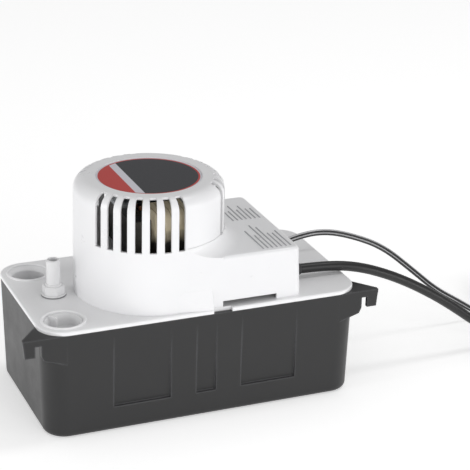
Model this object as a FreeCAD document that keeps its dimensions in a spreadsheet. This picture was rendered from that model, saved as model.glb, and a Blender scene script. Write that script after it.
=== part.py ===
import FreeCAD, Part
import math
import os

import Sketcher
from FreeCAD import Placement, Rotation, Vector

# Condensate pump: tank, deck, slotted motor cover, shaded pole motor, centrifugal pump,
# float switch, overflow switch, check valve and two leads. Millimetres, +Z up, +X along the
# tank, origin on the floor under the middle of the tank.

SIZES = [
    ("tank_length", 236.9, "tank outside at its rim, along X"),
    ("tank_width", 125.6, "tank outside at its rim, along Y"),
    ("tank_end_draft", 2.25, "how much each end of the tank leans in towards the floor"),
    ("tank_side_draft", 0.3, "how much each long side leans in towards the floor"),
    ("tank_height", 79.2, "floor to the top of the tank wall"),
    ("tank_wall", 2.4, "tank side wall"),
    ("tank_floor", 2.6, "tank bottom wall"),
    ("tank_corner", 16.0, "upright corner radius of the tank"),
    ("tank_foot_round", 4.0, "radius between the tank's bottom and its sides"),
    ("panel_depth", 2.2, "depth of the moulded side panels at their foot"),
    ("panel_foot", 19.0, "height of the panels' lower step"),
    ("panel_head", 74.0, "height at which the panels run out"),
    ("wide_panel_near", 26.8, "wide panel's side nearer the middle, from the middle"),
    ("wide_panel_far", 69.0, "wide panel's far side, from the middle"),
    ("narrow_panel_half", 7.4, "half width of the middle panel"),
    ("ear_reach", 133.6, "middle of the tank to the tip of a hanging ear"),
    ("ear_plate", 2.8, "thickness of the ear plate and its gusset"),
    ("ear_gusset_depth", 22.0, "how far the gusset runs back along the tank's end"),
    ("ear_foot", 57.0, "height of the ear plate's lower corner"),
    ("hook_low", 66.0, "height of the hook's lower end"),
    ("hook_width", 7.4, "width of the hook"),
    ("hook_slot", 4.4, "width of the slot between the hook and the tank"),
    ("hook_slot_height", 8.0, "height of that slot"),
    ("deck_overhang", 0.7, "deck past the tank's rim"),
    ("deck_corner", 19.0, "corner radius of the deck"),
    ("deck_thick", 2.8, "deck plate"),
    ("deck_edge_round", 1.1, "rounding of the deck's upper edge"),
    ("skirt_gap", 0.5, "gap between the deck's skirt and the tank wall"),
    ("skirt_wall", 1.8, "skirt that keeps the deck in the tank"),
    ("skirt_depth", 6.0, "depth of the skirt"),
    ("inlet_end", 19.15, "inlets' axes from the tank's end"),
    ("inlet_side", 19.3, "inlets' axes from the tank's long sides"),
    ("inlet_bore", 12.2, "radius of an inlet"),
    ("inlet_lip", 15.9, "radius of the raised ring round an inlet"),
    ("inlet_lip_height", 0.7, "height of that ring"),
    ("inlet_mouth", 14.6, "radius of the inlet's funnel at the top"),
    ("inlet_funnel", 4.2, "depth of the funnel"),
    ("inlet_depth", 20.0, "deck top to the lower end of an inlet collar"),
    ("inlet_wall", 1.9, "wall of an inlet collar"),
    ("motor_x", -23.6, "pump and motor axis along X"),
    ("cover_front", 3.1, "motor cover from the deck's front edge"),
    ("cover_radius", 54.3, "motor cover at its foot"),
    ("cover_lean", 0.7, "how much narrower the cover is at its shoulder"),
    ("cover_wall", 1.8, "motor cover wall"),
    ("cover_top", 166.5, "height of the cover's flat top"),
    ("cover_shoulder", 9.5, "radius of the cover's shoulder"),
    ("blend_radius", 10.0, "hollow blend between the round cover and the control box"),
    ("box_right", 73.4, "right side of the control box at the deck"),
    ("box_top", 119.6, "height of the control box"),
    ("box_lean", 1.9, "how far the control box's right side leans in"),
    ("box_inset", 0.5, "control box's long walls inside the round cover's widest line"),
    ("box_corner", 5.0, "upright corner radius of the control box"),
    ("box_edge_round", 2.6, "rounding of the control box's upper edge"),
    ("relief_left", 12.8, "gap under the box's front wall, left end"),
    ("relief_right", 53.8, "gap under the box's front wall, right end"),
    ("relief_height", 4.2, "height of that gap"),
    ("flare_left", -38.0, "where the cover's front foot starts to flare out, along X"),
    ("flare_start", 5.3, "that place from the deck's front edge"),
    ("flare_right", 4.7, "where the flare ends, flush with the deck's front edge"),
    ("flare_height", 16.0, "height of the flare above the deck"),
    ("notch_right", 18.8, "right end of the notch in the deck's front edge"),
    ("notch_depth", 3.5, "depth of that notch"),
    ("slot_width", 4.8, "air slot"),
    ("slot_foot", 128.4, "height of the air slots' lower end"),
    ("slot_reach", 45.4, "radius at which the air slots end on the shoulder"),
    ("slot_pitch", 10.95, "angle between neighbouring air slots"),
    ("slot_group", 117.3, "angle from one group of air slots to the next"),
    ("label_radius", 37.2, "label on the cover's top"),
    ("label_thick", 0.3, "thickness of the label"),
    ("label_recess", 1.0, "depth of the label's recess in the cover"),
    ("label_gap", 0.5, "gap round the label in that recess"),
    ("valve_end", 25.45, "check valve's axis from the tank's end"),
    ("valve_thread", 6.8, "radius of the valve's threaded shank"),
    ("valve_hole_gap", 0.2, "gap round that shank in the deck"),
    ("valve_flange", 9.0, "radius of the valve's flange"),
    ("valve_flange_thick", 1.0, "thickness of that flange"),
    ("valve_hex", 14.2, "across the flats of the valve's hexagon"),
    ("valve_hex_height", 4.8, "height of that hexagon"),
    ("stem_radius", 5.0, "hose stem of the valve"),
    ("stem_bore", 3.2, "bore of the hose stem"),
    ("stem_length", 20.6, "length of the hose stem"),
    ("seal_thick", 0.8, "flat seal under the valve's flange"),
    ("chamber_radius", 4.9, "bore in which the valve's poppet moves"),
    ("chamber_foot", 64.0, "height of the poppet's seat"),
    ("barb_radius", 5.0, "lower hose end of the valve"),
    ("barb_length", 10.0, "length of that end"),
    ("barb_bore", 3.0, "bore of that end"),
    ("poppet_gap", 0.25, "gap round the poppet and over its seat"),
    ("poppet_height", 5.0, "height of the poppet's disc"),
    ("pipe_radius", 7.4, "outside of the discharge pipe"),
    ("pipe_bend", 15.0, "bend radius of the discharge pipe"),
    ("pipe_gap", 0.05, "gap between the pipe's bore and what it is pushed on"),
    ("nozzle_height", 18.5, "height of the pump's outlet"),
    ("nozzle_offset", 14.0, "outlet's distance beside the pump's axis"),
    ("nozzle_end", 35.0, "outlet's end from the pump's axis"),
    ("nozzle_bore", 3.6, "bore of the pump's outlet"),
    ("nozzle_barb", 11.0, "length of the outlet's hose end"),
    ("volute_gap", 1.5, "gap between the pump wheel and the casing where the casing is narrowest"),
    ("volute_growth", 5.0, "how much the casing widens over one turn"),
    ("volute_wall", 2.0, "wall of the pump casing"),
    ("volute_foot", 11.5, "height of the pump casing's lower face"),
    ("volute_head", 27.0, "height of the pump casing's roof"),
    ("eye_radius", 7.5, "pump's intake"),
    ("intake_plate", 2.0, "thickness of the intake plate"),
    ("intake_leg", 6.5, "length of the intake plate's feet"),
    ("intake_leg_radius", 2.6, "radius of those feet"),
    ("casing_screw_reach", 18.0, "casing screws from the pump's axis"),
    ("casing_screw", 1.7, "casing screw"),
    ("casing_screw_head", 2.0, "height of a casing screw's head"),
    ("column_radius", 13.0, "outside of the column that carries the pump"),
    ("column_wall", 2.2, "wall of that column"),
    ("column_flange", 22.0, "radius of the column's flange under the deck"),
    ("column_flange_thick", 3.0, "thickness of that flange"),
    ("window_width", 10.0, "width of the windows in the column"),
    ("window_foot", 8.0, "windows above the casing's roof"),
    ("window_height", 26.0, "height of the windows"),
    ("shaft_radius", 3.0, "motor shaft"),
    ("shaft_foot", 14.6, "lower end of the motor shaft"),
    ("shaft_head", 160.5, "upper end of the motor shaft"),
    ("shaft_hole", 5.2, "radius of the shaft's hole in the deck"),
    ("hub_radius", 9.0, "raised collar round that hole"),
    ("hub_height", 3.0, "height of that collar"),
    ("press_gap", 0.02, "gap between a part and the shaft that it is pressed on"),
    ("running_gap", 0.05, "gap between a shaft and its bearing"),
    ("impeller_radius", 17.0, "pump wheel"),
    ("impeller_disc", 1.8, "pump wheel's disc"),
    ("impeller_foot", 13.4, "height of the pump wheel's lower side"),
    ("impeller_vane", 5.4, "height of the pump wheel's vanes"),
    ("impeller_hub", 5.6, "pump wheel's hub radius"),
    ("vane_thick", 1.6, "thickness of a pump vane"),
    ("slinger_radius", 8.6, "disc that throws water off the shaft"),
    ("slinger_height", 88.6, "height of that disc"),
    ("slinger_thick", 1.6, "thickness of that disc"),
    ("fan_radius", 28.0, "cooling fan"),
    ("fan_hub", 8.0, "cooling fan's hub radius"),
    ("fan_foot", 93.5, "height of the cooling fan's lower side"),
    ("fan_height", 9.0, "height of the cooling fan"),
    ("blade_thick", 1.4, "thickness of a fan blade"),
    ("blade_slant", 35.0, "slant of a fan blade"),
    ("post_reach", 35.5, "motor posts from the motor's axis"),
    ("post_radius", 4.6, "motor post"),
    ("post_top", 108.0, "height of the motor posts"),
    ("post_hole", 12.0, "depth of the screw holes in the motor posts"),
    ("strap_thick", 2.4, "bearing bracket strap"),
    ("strap_width", 17.0, "bearing bracket strap"),
    ("bearing_radius", 6.0, "sleeve bearing's outside"),
    ("bearing_length", 9.0, "sleeve bearing's length"),
    ("bearing_hub", 9.0, "bracket hub round a bearing"),
    ("stack_foot", 119.0, "height of the lamination stack's lower face"),
    ("stack_height", 28.0, "height of the lamination stack"),
    ("stack_half", 26.0, "half width of the lamination stack"),
    ("stack_back", 18.0, "stack's rear face from the motor's axis"),
    ("stack_front", 37.0, "stack's front face from the motor's axis"),
    ("stack_leg", 11.0, "depth of the stack's front leg"),
    ("stack_window", 8.5, "depth of the window behind that leg"),
    ("stack_post", 9.0, "width of the stack's side limbs"),
    ("rotor_radius", 12.5, "rotor"),
    ("air_gap", 0.4, "gap between rotor and stack"),
    ("rotor_extra", 1.0, "how far the rotor stands past the stack at each end"),
    ("bolt_reach", 20.6, "through bolts from the motor's axis"),
    ("bolt_radius", 2.0, "through bolt"),
    ("bolt_head", 3.8, "head of a through bolt"),
    ("bolt_head_height", 2.6, "height of that head"),
    ("bolt_gap", 0.2, "gap round a bolt in its hole"),
    ("motor_screw_long", 9.0, "depth of the motor screws in their posts"),
    ("motor_screw_head", 2.4, "height of a motor screw's head"),
    ("spacer_radius", 4.6, "spacers between stack and brackets"),
    ("coil_left", -11.5, "coil's left end from the motor's axis"),
    ("coil_right", 14.0, "coil's right end from the motor's axis"),
    ("coil_build", 6.6, "thickness of the winding round its bobbin"),
    ("bobbin_wall", 1.2, "wall of the bobbin"),
    ("bobbin_gap", 0.3, "gap between the bobbin and the stack's leg"),
    ("float_x", 54.6, "float rod along X"),
    ("float_behind", 6.1, "float rod behind the motor's axis"),
    ("float_length", 62.0, "float along X"),
    ("float_width", 66.0, "float along Y"),
    ("float_thick", 24.0, "float's height"),
    ("float_foot", 2.9, "height of the float's lower face with the tank empty"),
    ("float_corner", 9.0, "corner radius of the float"),
    ("float_round", 2.0, "rounding of the float's upper and lower edges"),
    ("rod_inset", 3.0, "float rod's lower end above the float's lower face"),
    ("rod_radius", 2.0, "float rod"),
    ("guide_radius", 4.2, "outside of the float rod's guide"),
    ("guide_flange", 6.6, "guide's flange"),
    ("guide_flange_thick", 1.6, "thickness of that flange"),
    ("guide_depth", 19.0, "guide's length below the deck"),
    ("float_travel", 27.0, "float's travel"),
    ("lost_motion", 0.4, "gap left between the rod's end and the lower lever at full travel"),
    ("pump_lever_height", 94.3, "height of the pump switch's lever"),
    ("overflow_step", 3.0, "how much higher the overflow switch sits"),
    ("switch_length", 28.0, "switch case along Y"),
    ("switch_height", 15.8, "switch case's height"),
    ("switch_thick", 10.2, "switch case along X"),
    ("switch_start", 8.0, "switch case's near end from the float rod"),
    ("lever_thick", 0.8, "switch lever"),
    ("lever_width", 4.0, "switch lever"),
    ("lever_over", 2.6, "how far a lever reaches past the float rod"),
    ("switch_gap", 0.1, "half the gap between the two switch cases"),
    ("switch_ear", 1.2, "ear that holds a lever's pin"),
    ("lever_play", 0.2, "side play of a lever between those ears"),
    ("lever_inset", 0.3, "lever's edge from the plane between the switches"),
    ("pivot_inset", 2.2, "lever's pivot from the case's far end"),
    ("button_back", 9.0, "switch button from the lever's pivot"),
    ("button_radius", 1.3, "switch button"),
    ("button_out", 1.9, "gap between a lever and its switch case"),
    ("button_gap", 0.3, "gap between a lever and its button"),
    ("pivot_radius", 1.0, "lever pivot pin"),
    ("barrel_radius", 1.7, "lever's barrel round its pin"),
    ("plate_thick", 1.5, "switch bracket"),
    ("plate_notch_height", 12.0, "height of the bracket's notch for the twin lead"),
    ("bracket_foot", 5.2, "bracket's foot along X"),
    ("plate_notch", 12.0, "how far the bracket's foot starts behind its near edge"),
    ("small_screw", 1.3, "screws of switches and bracket"),
    ("small_head", 2.4, "heads and nuts of the switch screws"),
    ("small_head_height", 1.6, "height of those heads"),
    ("small_nut_height", 2.0, "height of the nuts on the switch screws"),
    ("switch_screw_inset", 4.0, "switch screws from the ends of the cases"),
    ("switch_screw_height", 10.0, "switch screws above the pump switch's lower side"),
    ("bracket_head", 1.8, "heads of the bracket's screws"),
    ("bracket_head_height", 1.4, "height of those heads"),
    ("bracket_screw_out", 1.9, "bracket's screws from its plate"),
    ("bracket_screw_near", 16.0, "first screw of the bracket behind its near edge"),
    ("bracket_screw_far", 24.0, "second screw behind that edge"),
    ("ring_bar", 2.0, "bar of a shading ring"),
    ("ring_x", 10.6, "shading rings from the motor's axis along X"),
    ("ring_near", 7.9, "shading rings' near bar along Y"),
    ("ring_far", 16.4, "shading rings' far side along Y"),
    ("valve_floor", 2.0, "floor under the valve's chamber"),
    ("chamber_head", 80.0, "height of the chamber's upper end"),
    ("poppet_radius", 3.9, "poppet's disc"),
    ("cord_radius", 3.7, "mains lead"),
    ("cord_gap", 0.3, "gap round a lead in its strain relief or grommet"),
    ("cord_exit_y", -30.0, "mains lead's exit along Y"),
    ("cord_exit_z", 89.0, "height of the mains lead's exit"),
    ("relief_neck", 5.1, "strain relief where it passes the wall"),
    ("relief_flange", 6.6, "strain relief's flange"),
    ("relief_end", 86.8, "strain relief's end along X"),
    ("relief_inside", 68.2, "strain relief's and grommet's inner end along X"),
    ("relief_collar", 2.0, "thickness of the strain relief's outer flange"),
    ("grommet_collar", 1.8, "thickness of the grommet's outer flange"),
    ("relief_wall_in", 70.8, "inner side of the wall that they pass"),
    ("relief_wall_out", 73.5, "outer side of that wall"),
    ("twin_radius", 2.4, "half the width of the twin lead"),
    ("twin_exit_y", 15.0, "twin lead's exit along Y"),
    ("twin_exit_z", 88.0, "height of the twin lead's exit"),
    ("grommet_neck", 3.4, "grommet where it passes the wall"),
    ("grommet_flange", 4.8, "grommet's flange"),
    ("wall_hole_gap", 0.1, "gap round strain relief and grommet in the wall"),
    ("plug_cup_gap", 0.25, "gap round the inlet cap"),
    ("plug_cup_wall", 1.3, "wall of the inlet cap"),
    ("plug_cup_depth", 9.4, "deck top to the floor of the inlet cap"),
    ("plug_cup_top", 81.5, "height of the inlet cap's rim"),
    ("coil_x", 316.0, "mains lead's coil along X"),
    ("coil_y", -77.0, "mains lead's coil along Y"),
    ("coil_mean", 41.0, "middle radius of that coil"),
    ("coil_foot", 1.3, "height of both coils' lower side"),
    ("twin_coil_x", 313.0, "twin lead's coil along X"),
    ("twin_coil_y", 41.4, "twin lead's coil along Y"),
    ("twin_coil_mean", 24.0, "middle radius of that coil"),
    ("tie_width", 5.0, "tie round a coil"),
    ("tie_thick", 0.8, "thickness of that tie"),
    ("plug_x", 360.3, "mains plug's rear along X"),
    ("plug_y", -32.3, "mains plug's middle along Y"),
    ("plug_z", 12.9, "height of the mains plug's middle"),
    ("plug_length", 38.0, "mains plug's body"),
    ("plug_half", 13.0, "half the width of the mains plug"),
    ("plug_neck_half", 5.5, "half the width of the plug's rear"),
    ("plug_neck", 12.0, "length over which the plug widens"),
    ("plug_round", 3.0, "rounding of the plug's edges"),
    ("blade_lift", 4.0, "blades above the plug's middle"),
    ("blade_pitch", 12.7, "distance between the plug's blades"),
    ("blade_long", 16.0, "length of a blade"),
    ("blade_high", 6.3, "width of a blade"),
    ("blade_flat", 1.5, "thickness of a blade"),
    ("ground_drop", 11.9, "blades to the ground pin"),
    ("ground_radius", 2.4, "ground pin"),
    ("ground_long", 18.6, "length of the ground pin"),
    ("wire_gap", 0.1, "gap between the twin lead's end and its bare wires"),
    ("bare_radius", 0.6, "bare wire end"),
    ("bare_long", 9.0, "length of a bare wire end"),
]

doc = FreeCAD.newDocument("condensate_pump")
sheet = doc.addObject("Spreadsheet::Sheet", "dim")
for row, (alias, number, note) in enumerate(SIZES, start=1):
    sheet.set(f"A{row}", note)
    sheet.set(f"B{row}", str(number))
    sheet.setAlias(f"B{row}", alias)
doc.recompute()

PARTS = {}

FOOT_LENGTH = "(dim.tank_length - 2 * dim.tank_end_draft)"
FOOT_WIDTH = "(dim.tank_width - 2 * dim.tank_side_draft)"
DECK_LENGTH = "(dim.tank_length + 2 * dim.deck_overhang)"
DECK_WIDTH = "(dim.tank_width + 2 * dim.deck_overhang)"
DECK_TOP = "(dim.tank_height + dim.deck_thick)"
MOTOR_Y = f"(dim.cover_front + dim.cover_radius - {DECK_WIDTH} / 2)"
INLET_X = "(dim.tank_length / 2 - dim.inlet_end)"
INLET_Y = "(dim.tank_width / 2 - dim.inlet_side)"
VALVE_X = "(dim.valve_end - dim.tank_length / 2)"
FLOAT_Y = f"({MOTOR_Y} + dim.float_behind)"
SWITCH_Y = f"({FLOAT_Y} + dim.switch_start)"


def value(expression):
    """Number that an expression over the sheet's cells gives now."""
    result = sheet.evalExpression(expression)
    return float(getattr(result, "Value", result))


def bind(item, **sizes):
    """Tie properties of an object to expressions over the sheet's cells."""
    for name, expression in sizes.items():
        item.setExpression(name.replace("_", "."), expression)


def place(item, x="0", y="0", z="0", axis=None, angle="0"):
    """Put an object at a place, turned about an axis, all bound to the sheet."""
    if axis is not None:
        item.Placement = Placement(Vector(), Rotation(Vector(*axis), value(angle)))
        item.setExpression("Placement.Rotation.Angle", angle)
    for letter, expression in zip("xyz", (x, y, z)):
        item.setExpression(f"Placement.Base.{letter}", expression)
    return item


def keep(item, label):
    """Name an object as one sub-part of the pump."""
    item.Label = label
    PARTS[label] = item
    return item


def block(x, y, z, length, width, height):
    """Box from its low corner and its three sides."""
    item = doc.addObject("Part::Box", "block")
    bind(item, Length=length, Width=width, Height=height)
    return place(item, x, y, z)


def rod(x, y, z, radius, height, axis=None, angle="0"):
    """Cylinder from its lower end; it stands upright unless turned."""
    item = doc.addObject("Part::Cylinder", "rod")
    bind(item, Radius=radius, Height=height)
    return place(item, x, y, z, axis, angle)


def taper(x, y, z, low, high, height, axis=None, angle="0"):
    """Cone from its lower end."""
    item = doc.addObject("Part::Cone", "taper")
    bind(item, Radius1=low, Radius2=high, Height=height)
    return place(item, x, y, z, axis, angle)


def fuse(*items):
    """One solid from several."""
    item = doc.addObject("Part::MultiFuse", "fuse")
    item.Shapes = list(items)
    return item


def cut(base, *tools):
    """A solid less one or more tools."""
    item = doc.addObject("Part::Cut", "cut")
    item.Base = base
    item.Tool = tools[0] if len(tools) == 1 else fuse(*tools)
    return item


def common(first, second):
    """What two solids share."""
    item = doc.addObject("Part::Common", "common")
    item.Base = first
    item.Tool = second
    return item


def group(*items):
    """Separate solids kept in one sub-part."""
    item = doc.addObject("Part::Compound", "group")
    item.Links = list(items)
    return item


def new_body(name):
    """Empty body for sketched features."""
    return doc.addObject("PartDesign::Body", name)


def sketch_on(body, role, lift="0"):
    """Sketch on one of the body's own origin planes, lifted off it."""
    sketch = body.newObject("Sketcher::SketchObject", f"{body.Name}_sketch")
    support = [item for item in body.Origin.OriginFeatures if item.Role == role][0]
    sketch.AttachmentSupport = [(support, "")]
    sketch.MapMode = "FlatFace"
    sketch.setExpression("AttachmentOffset.Base.z", lift)
    return sketch


def pin_point(sketch, geometry, point, x, y):
    """Hold a point of the sketch at two expressions from the sketch's origin."""
    for kind, expression in (("DistanceX", x), ("DistanceY", y)):
        number = sketch.addConstraint(
            Sketcher.Constraint(kind, -1, 1, geometry, point, value(expression))
        )
        sketch.setExpression(f"Constraints[{number}]", expression)


def outline(sketch, points):
    """Closed outline of straight lines through points given as expressions."""
    corners = [Vector(value(x), value(y), 0) for x, y in points]
    first = sketch.GeometryCount
    count = len(corners)
    for index in range(count):
        sketch.addGeometry(Part.LineSegment(corners[index], corners[(index + 1) % count]), False)
    for index in range(count):
        following = first + (index + 1) % count
        sketch.addConstraint(Sketcher.Constraint("Coincident", first + index, 2, following, 1))
        pin_point(sketch, first + index, 1, *points[index])
    return sketch


def pad(body, sketch, length, reverse=False):
    """Add material from a sketch."""
    feature = body.newObject("PartDesign::Pad", "pad")
    feature.Profile = sketch
    feature.Reversed = reverse
    bind(feature, Length=length)
    return feature


def spin(body, sketch):
    """Turn a profile about the body's upright axis."""
    feature = body.newObject("PartDesign::Revolution", "turned")
    feature.Profile = sketch
    feature.ReferenceAxis = (sketch, ["V_Axis"])
    feature.Angle = 360
    return feature


def fillet(body, feature, radius, chosen):
    """Round the edges that a test picks."""
    doc.recompute()
    names = [
        f"Edge{number}"
        for number, edge in enumerate(feature.Shape.Edges, start=1)
        if chosen(edge)
    ]
    rounded = body.newObject("PartDesign::Fillet", "rounded")
    rounded.Base = (feature, names)
    bind(rounded, Radius=radius)
    return rounded


def turned(name, points, x="0", y="0"):
    """Body turned about an upright axis from a profile of radius and height."""
    body = new_body(name)
    spin(body, outline(sketch_on(body, "XZ_Plane"), points))
    return place(body, x, y)


def rectangle(left, front, right, back):
    """Corner points of a rectangle."""
    return [(left, front), (right, front), (right, back), (left, back)]


def is_upright(edge):
    """Edge that climbs, and is no ring."""
    heights = [vertex.Z for vertex in edge.Vertexes]
    return max(heights) - min(heights) > 1.0


def is_at(height):
    """Test for edges that lie at one height."""
    return lambda edge: all(abs(vertex.Z - height) < 1e-4 for vertex in edge.Vertexes)


def drafted(body, low, low_sides, high, high_sides):
    """Block whose sides lean; sides are left, front, right and back."""
    item = body.newObject("PartDesign::AdditiveWedge", f"{body.Name}_block")
    item.Placement = Placement(Vector(), Rotation(Vector(1, 0, 0), 90))
    bind(item, Ymin=low, Xmin=low_sides[0], Zmax=f"-({low_sides[1]})")
    bind(item, Xmax=low_sides[2], Zmin=f"-({low_sides[3]})")
    bind(item, Ymax=high, X2min=high_sides[0], Z2max=f"-({high_sides[1]})")
    bind(item, X2max=high_sides[2], Z2min=f"-({high_sides[3]})")
    return item


def tub(name, low, low_sides, high, high_sides, corner, foot_round=None, head_round=None):
    """Drafted block with rounded corners."""
    body = new_body(name)
    feature = fillet(body, drafted(body, low, low_sides, high, high_sides), corner, is_upright)
    if foot_round is not None:
        feature = fillet(body, feature, foot_round, is_at(value(low)))
    if head_round is not None:
        feature = fillet(body, feature, head_round, is_at(value(high)))
    return body


def both_sides(length, width):
    """Sides of a rectangle centred on the origin."""
    return (f"-({length}) / 2", f"-({width}) / 2", f"({length}) / 2", f"({width}) / 2")


def wedge(left, right, side, wall):
    """Panel recess that deepens downwards, grown by a wall for its inner face."""
    body = new_body("panel")
    face = "dim.tank_width / 2 + 1"
    slope = "(dim.panel_head - dim.panel_foot)"
    foot = f"dim.panel_foot - {wall}"
    depth = f"dim.tank_width / 2 - dim.panel_depth - {wall}"
    head = f"dim.panel_head + {wall} * {slope} / dim.panel_depth / 8"
    points = [(face, foot), (face, head), (f"dim.tank_width / 2 - {wall}", head), (depth, foot)]
    sketch = outline(sketch_on(body, "YZ_Plane"), [(f"{side} * ({y})", z) for y, z in points])
    pad(body, sketch, f"({right}) - ({left}) + 2 * {wall}")
    return place(body, f"({left}) - {wall}")


def panels(wall):
    """Three recesses on each long side of the tank."""
    spans = [
        ("-dim.wide_panel_far", "-dim.wide_panel_near"),
        ("-dim.narrow_panel_half", "dim.narrow_panel_half"),
        ("dim.wide_panel_near", "dim.wide_panel_far"),
    ]
    return [wedge(left, right, side, wall) for left, right in spans for side in (-1, 1)]


def ear(side):
    """Hanging ear at one front corner: a hooked plate under a gusset."""
    front = "dim.tank_width / 2"
    inner = "dim.tank_length / 2 - dim.tank_corner"
    hook_out = "dim.ear_reach - 1.2"
    hook_in = f"{hook_out} - dim.hook_width"
    slot_in = f"{hook_in} - dim.hook_slot"
    slot_top = "dim.hook_low + dim.hook_slot_height"
    points = [
        (inner, "dim.ear_foot"), (f"{slot_in} - 1.8", "dim.hook_low - 4"),
        (slot_in, "dim.hook_low"), (slot_in, slot_top), (hook_in, slot_top),
        (hook_in, "dim.hook_low"), (hook_out, "dim.hook_low"),
        ("dim.ear_reach", "dim.tank_height"), (inner, "dim.tank_height"),
    ]
    plate = new_body("ear_plate")
    sketch = outline(
        sketch_on(plate, "XZ_Plane", front), [(f"{side} * ({x})", z) for x, z in points]
    )
    pad(plate, sketch, "dim.ear_plate", reverse=True)
    gusset = new_body("ear_gusset")
    corners = [
        (inner, f"-{front}"), ("dim.ear_reach", f"-{front}"),
        ("dim.ear_reach", f"-{front} + dim.ear_plate"),
        ("dim.tank_length / 2", f"-{front} + dim.ear_gusset_depth"),
        (inner, f"-{front} + dim.ear_gusset_depth"),
    ]
    sketch = outline(
        sketch_on(gusset, "XY_Plane", "dim.tank_height"),
        [(f"{side} * ({x})", y) for x, y in corners],
    )
    pad(gusset, sketch, "dim.ear_plate", reverse=True)
    return fuse(plate, gusset)


def make_tank():
    """Open tank with panelled sides and two hanging ears."""
    outer = tub(
        "tank_outer",
        "0", both_sides(FOOT_LENGTH, FOOT_WIDTH),
        "dim.tank_height", both_sides("dim.tank_length", "dim.tank_width"),
        "dim.tank_corner", foot_round="dim.tank_foot_round",
    )
    cavity = tub(
        "tank_cavity",
        "dim.tank_floor",
        both_sides(f"{FOOT_LENGTH} - 2 * dim.tank_wall", f"{FOOT_WIDTH} - 2 * dim.tank_wall"),
        "dim.tank_height",
        both_sides("dim.tank_length - 2 * dim.tank_wall", "dim.tank_width - 2 * dim.tank_wall"),
        "dim.tank_corner - dim.tank_wall", foot_round="dim.tank_foot_round - dim.tank_wall / 2",
    )
    hollow = cut(cavity, *panels("dim.tank_wall"))
    body = fuse(outer, ear(-1), ear(1))
    keep(cut(body, hollow, *panels("0")), "tank")


def inlet_collar(side):
    """Raised ring and collar of one inlet."""
    y = f"{side} * {INLET_Y}"
    ring = taper(
        f"-{INLET_X}", y, "dim.tank_height + dim.deck_thick",
        "dim.inlet_lip", "dim.inlet_lip - dim.inlet_lip_height", "dim.inlet_lip_height",
    )
    collar = rod(
        f"-{INLET_X}", y, "dim.tank_height + dim.deck_thick - dim.inlet_depth",
        "dim.inlet_bore + dim.inlet_wall", "dim.inlet_depth",
    )
    return [ring, collar]


def inlet_hole(side):
    """Funnel and bore of one inlet."""
    y = f"{side} * {INLET_Y}"
    top = "dim.tank_height + dim.deck_thick + dim.inlet_lip_height"
    funnel = taper(
        f"-{INLET_X}", y, f"{top} - dim.inlet_funnel", "dim.inlet_bore", "dim.inlet_mouth",
        "dim.inlet_funnel",
    )
    hole = rod(f"-{INLET_X}", y, "0", "dim.inlet_bore", f"{top} - dim.inlet_funnel + 0.001")
    return [funnel, hole]


def around(index, count, reach):
    """Place of one of several things on a circle about the motor's axis."""
    angle = f"({index} * 360 / {count} + 30)"
    return (f"dim.motor_x + {reach} * cos({angle})", f"{MOTOR_Y} + {reach} * sin({angle})")


def casing_screw_rods(z, height, radius):
    """Upright rods at the three casing screws."""
    return [rod(*around(index, 3, "dim.casing_screw_reach"), z, radius, height) for index in range(3)]


def bracket_screw_rods(z, height, radius):
    """Upright rods at the two screws of the switch bracket's foot."""
    x = "dim.float_x + dim.switch_gap + dim.switch_thick + dim.plate_thick + dim.bracket_screw_out"
    places = ("dim.bracket_screw_near", "dim.bracket_screw_far")
    return [rod(x, f"{SWITCH_Y} + {y}", z, radius, height) for y in places]


def make_deck():
    """Tank lid with inlets, motor posts, shaft collar and the holes that things pass through."""
    plate = tub(
        "deck_plate",
        "dim.tank_height", both_sides(DECK_LENGTH, DECK_WIDTH),
        DECK_TOP, both_sides(DECK_LENGTH, DECK_WIDTH),
        "dim.deck_corner", head_round="dim.deck_edge_round",
    )
    inside = "2 * (dim.tank_wall + dim.skirt_gap)"
    low = "dim.tank_height - dim.skirt_depth"
    sides = both_sides(f"dim.tank_length - {inside}", f"dim.tank_width - {inside}")
    skirt = tub("skirt", low, sides, "dim.tank_height", sides,
                "dim.tank_corner - dim.tank_wall - dim.skirt_gap")
    inner = both_sides(
        f"dim.tank_length - {inside} - 2 * dim.skirt_wall",
        f"dim.tank_width - {inside} - 2 * dim.skirt_wall",
    )
    skirt_hollow = tub("skirt_hollow", low, inner, "dim.tank_height", inner,
                       "dim.tank_corner - dim.tank_wall - dim.skirt_gap - dim.skirt_wall")
    solids = [plate, cut(skirt, skirt_hollow)]
    tools = []
    for side in (-1, 1):
        solids += inlet_collar(side)
        tools += inlet_hole(side)
        solids.append(
            rod(f"dim.motor_x + {side} * dim.post_reach", MOTOR_Y, DECK_TOP,
                "dim.post_radius", f"dim.post_top - {DECK_TOP}")
        )
        tools.append(
            rod(f"dim.motor_x + {side} * dim.post_reach", MOTOR_Y, "dim.post_top - dim.post_hole",
                "dim.bolt_radius", "dim.post_hole")
        )
    solids.append(rod("dim.motor_x", MOTOR_Y, DECK_TOP, "dim.hub_radius", "dim.hub_height"))
    tools.append(
        rod("dim.motor_x", MOTOR_Y, "dim.tank_height", "dim.shaft_hole",
            "dim.deck_thick + dim.hub_height")
    )
    tools.append(
        rod(VALVE_X, "0", "dim.tank_height", "dim.valve_thread + dim.valve_hole_gap",
            "dim.deck_thick")
    )
    tools.append(
        rod("dim.float_x", FLOAT_Y, "dim.tank_height", "dim.guide_radius + dim.press_gap",
            "dim.deck_thick")
    )
    tools.append(
        block("dim.flare_right", f"-{DECK_WIDTH} / 2 - 1", "dim.tank_height",
              "dim.notch_right - dim.flare_right", "dim.notch_depth + 1", "dim.deck_thick")
    )
    tools += casing_screw_rods("dim.tank_height", "dim.deck_thick", "dim.casing_screw + 0.2")
    tools += bracket_screw_rods("dim.tank_height", "dim.deck_thick", "dim.small_screw + dim.press_gap")
    keep(cut(fuse(*solids), *tools), "deck")


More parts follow.
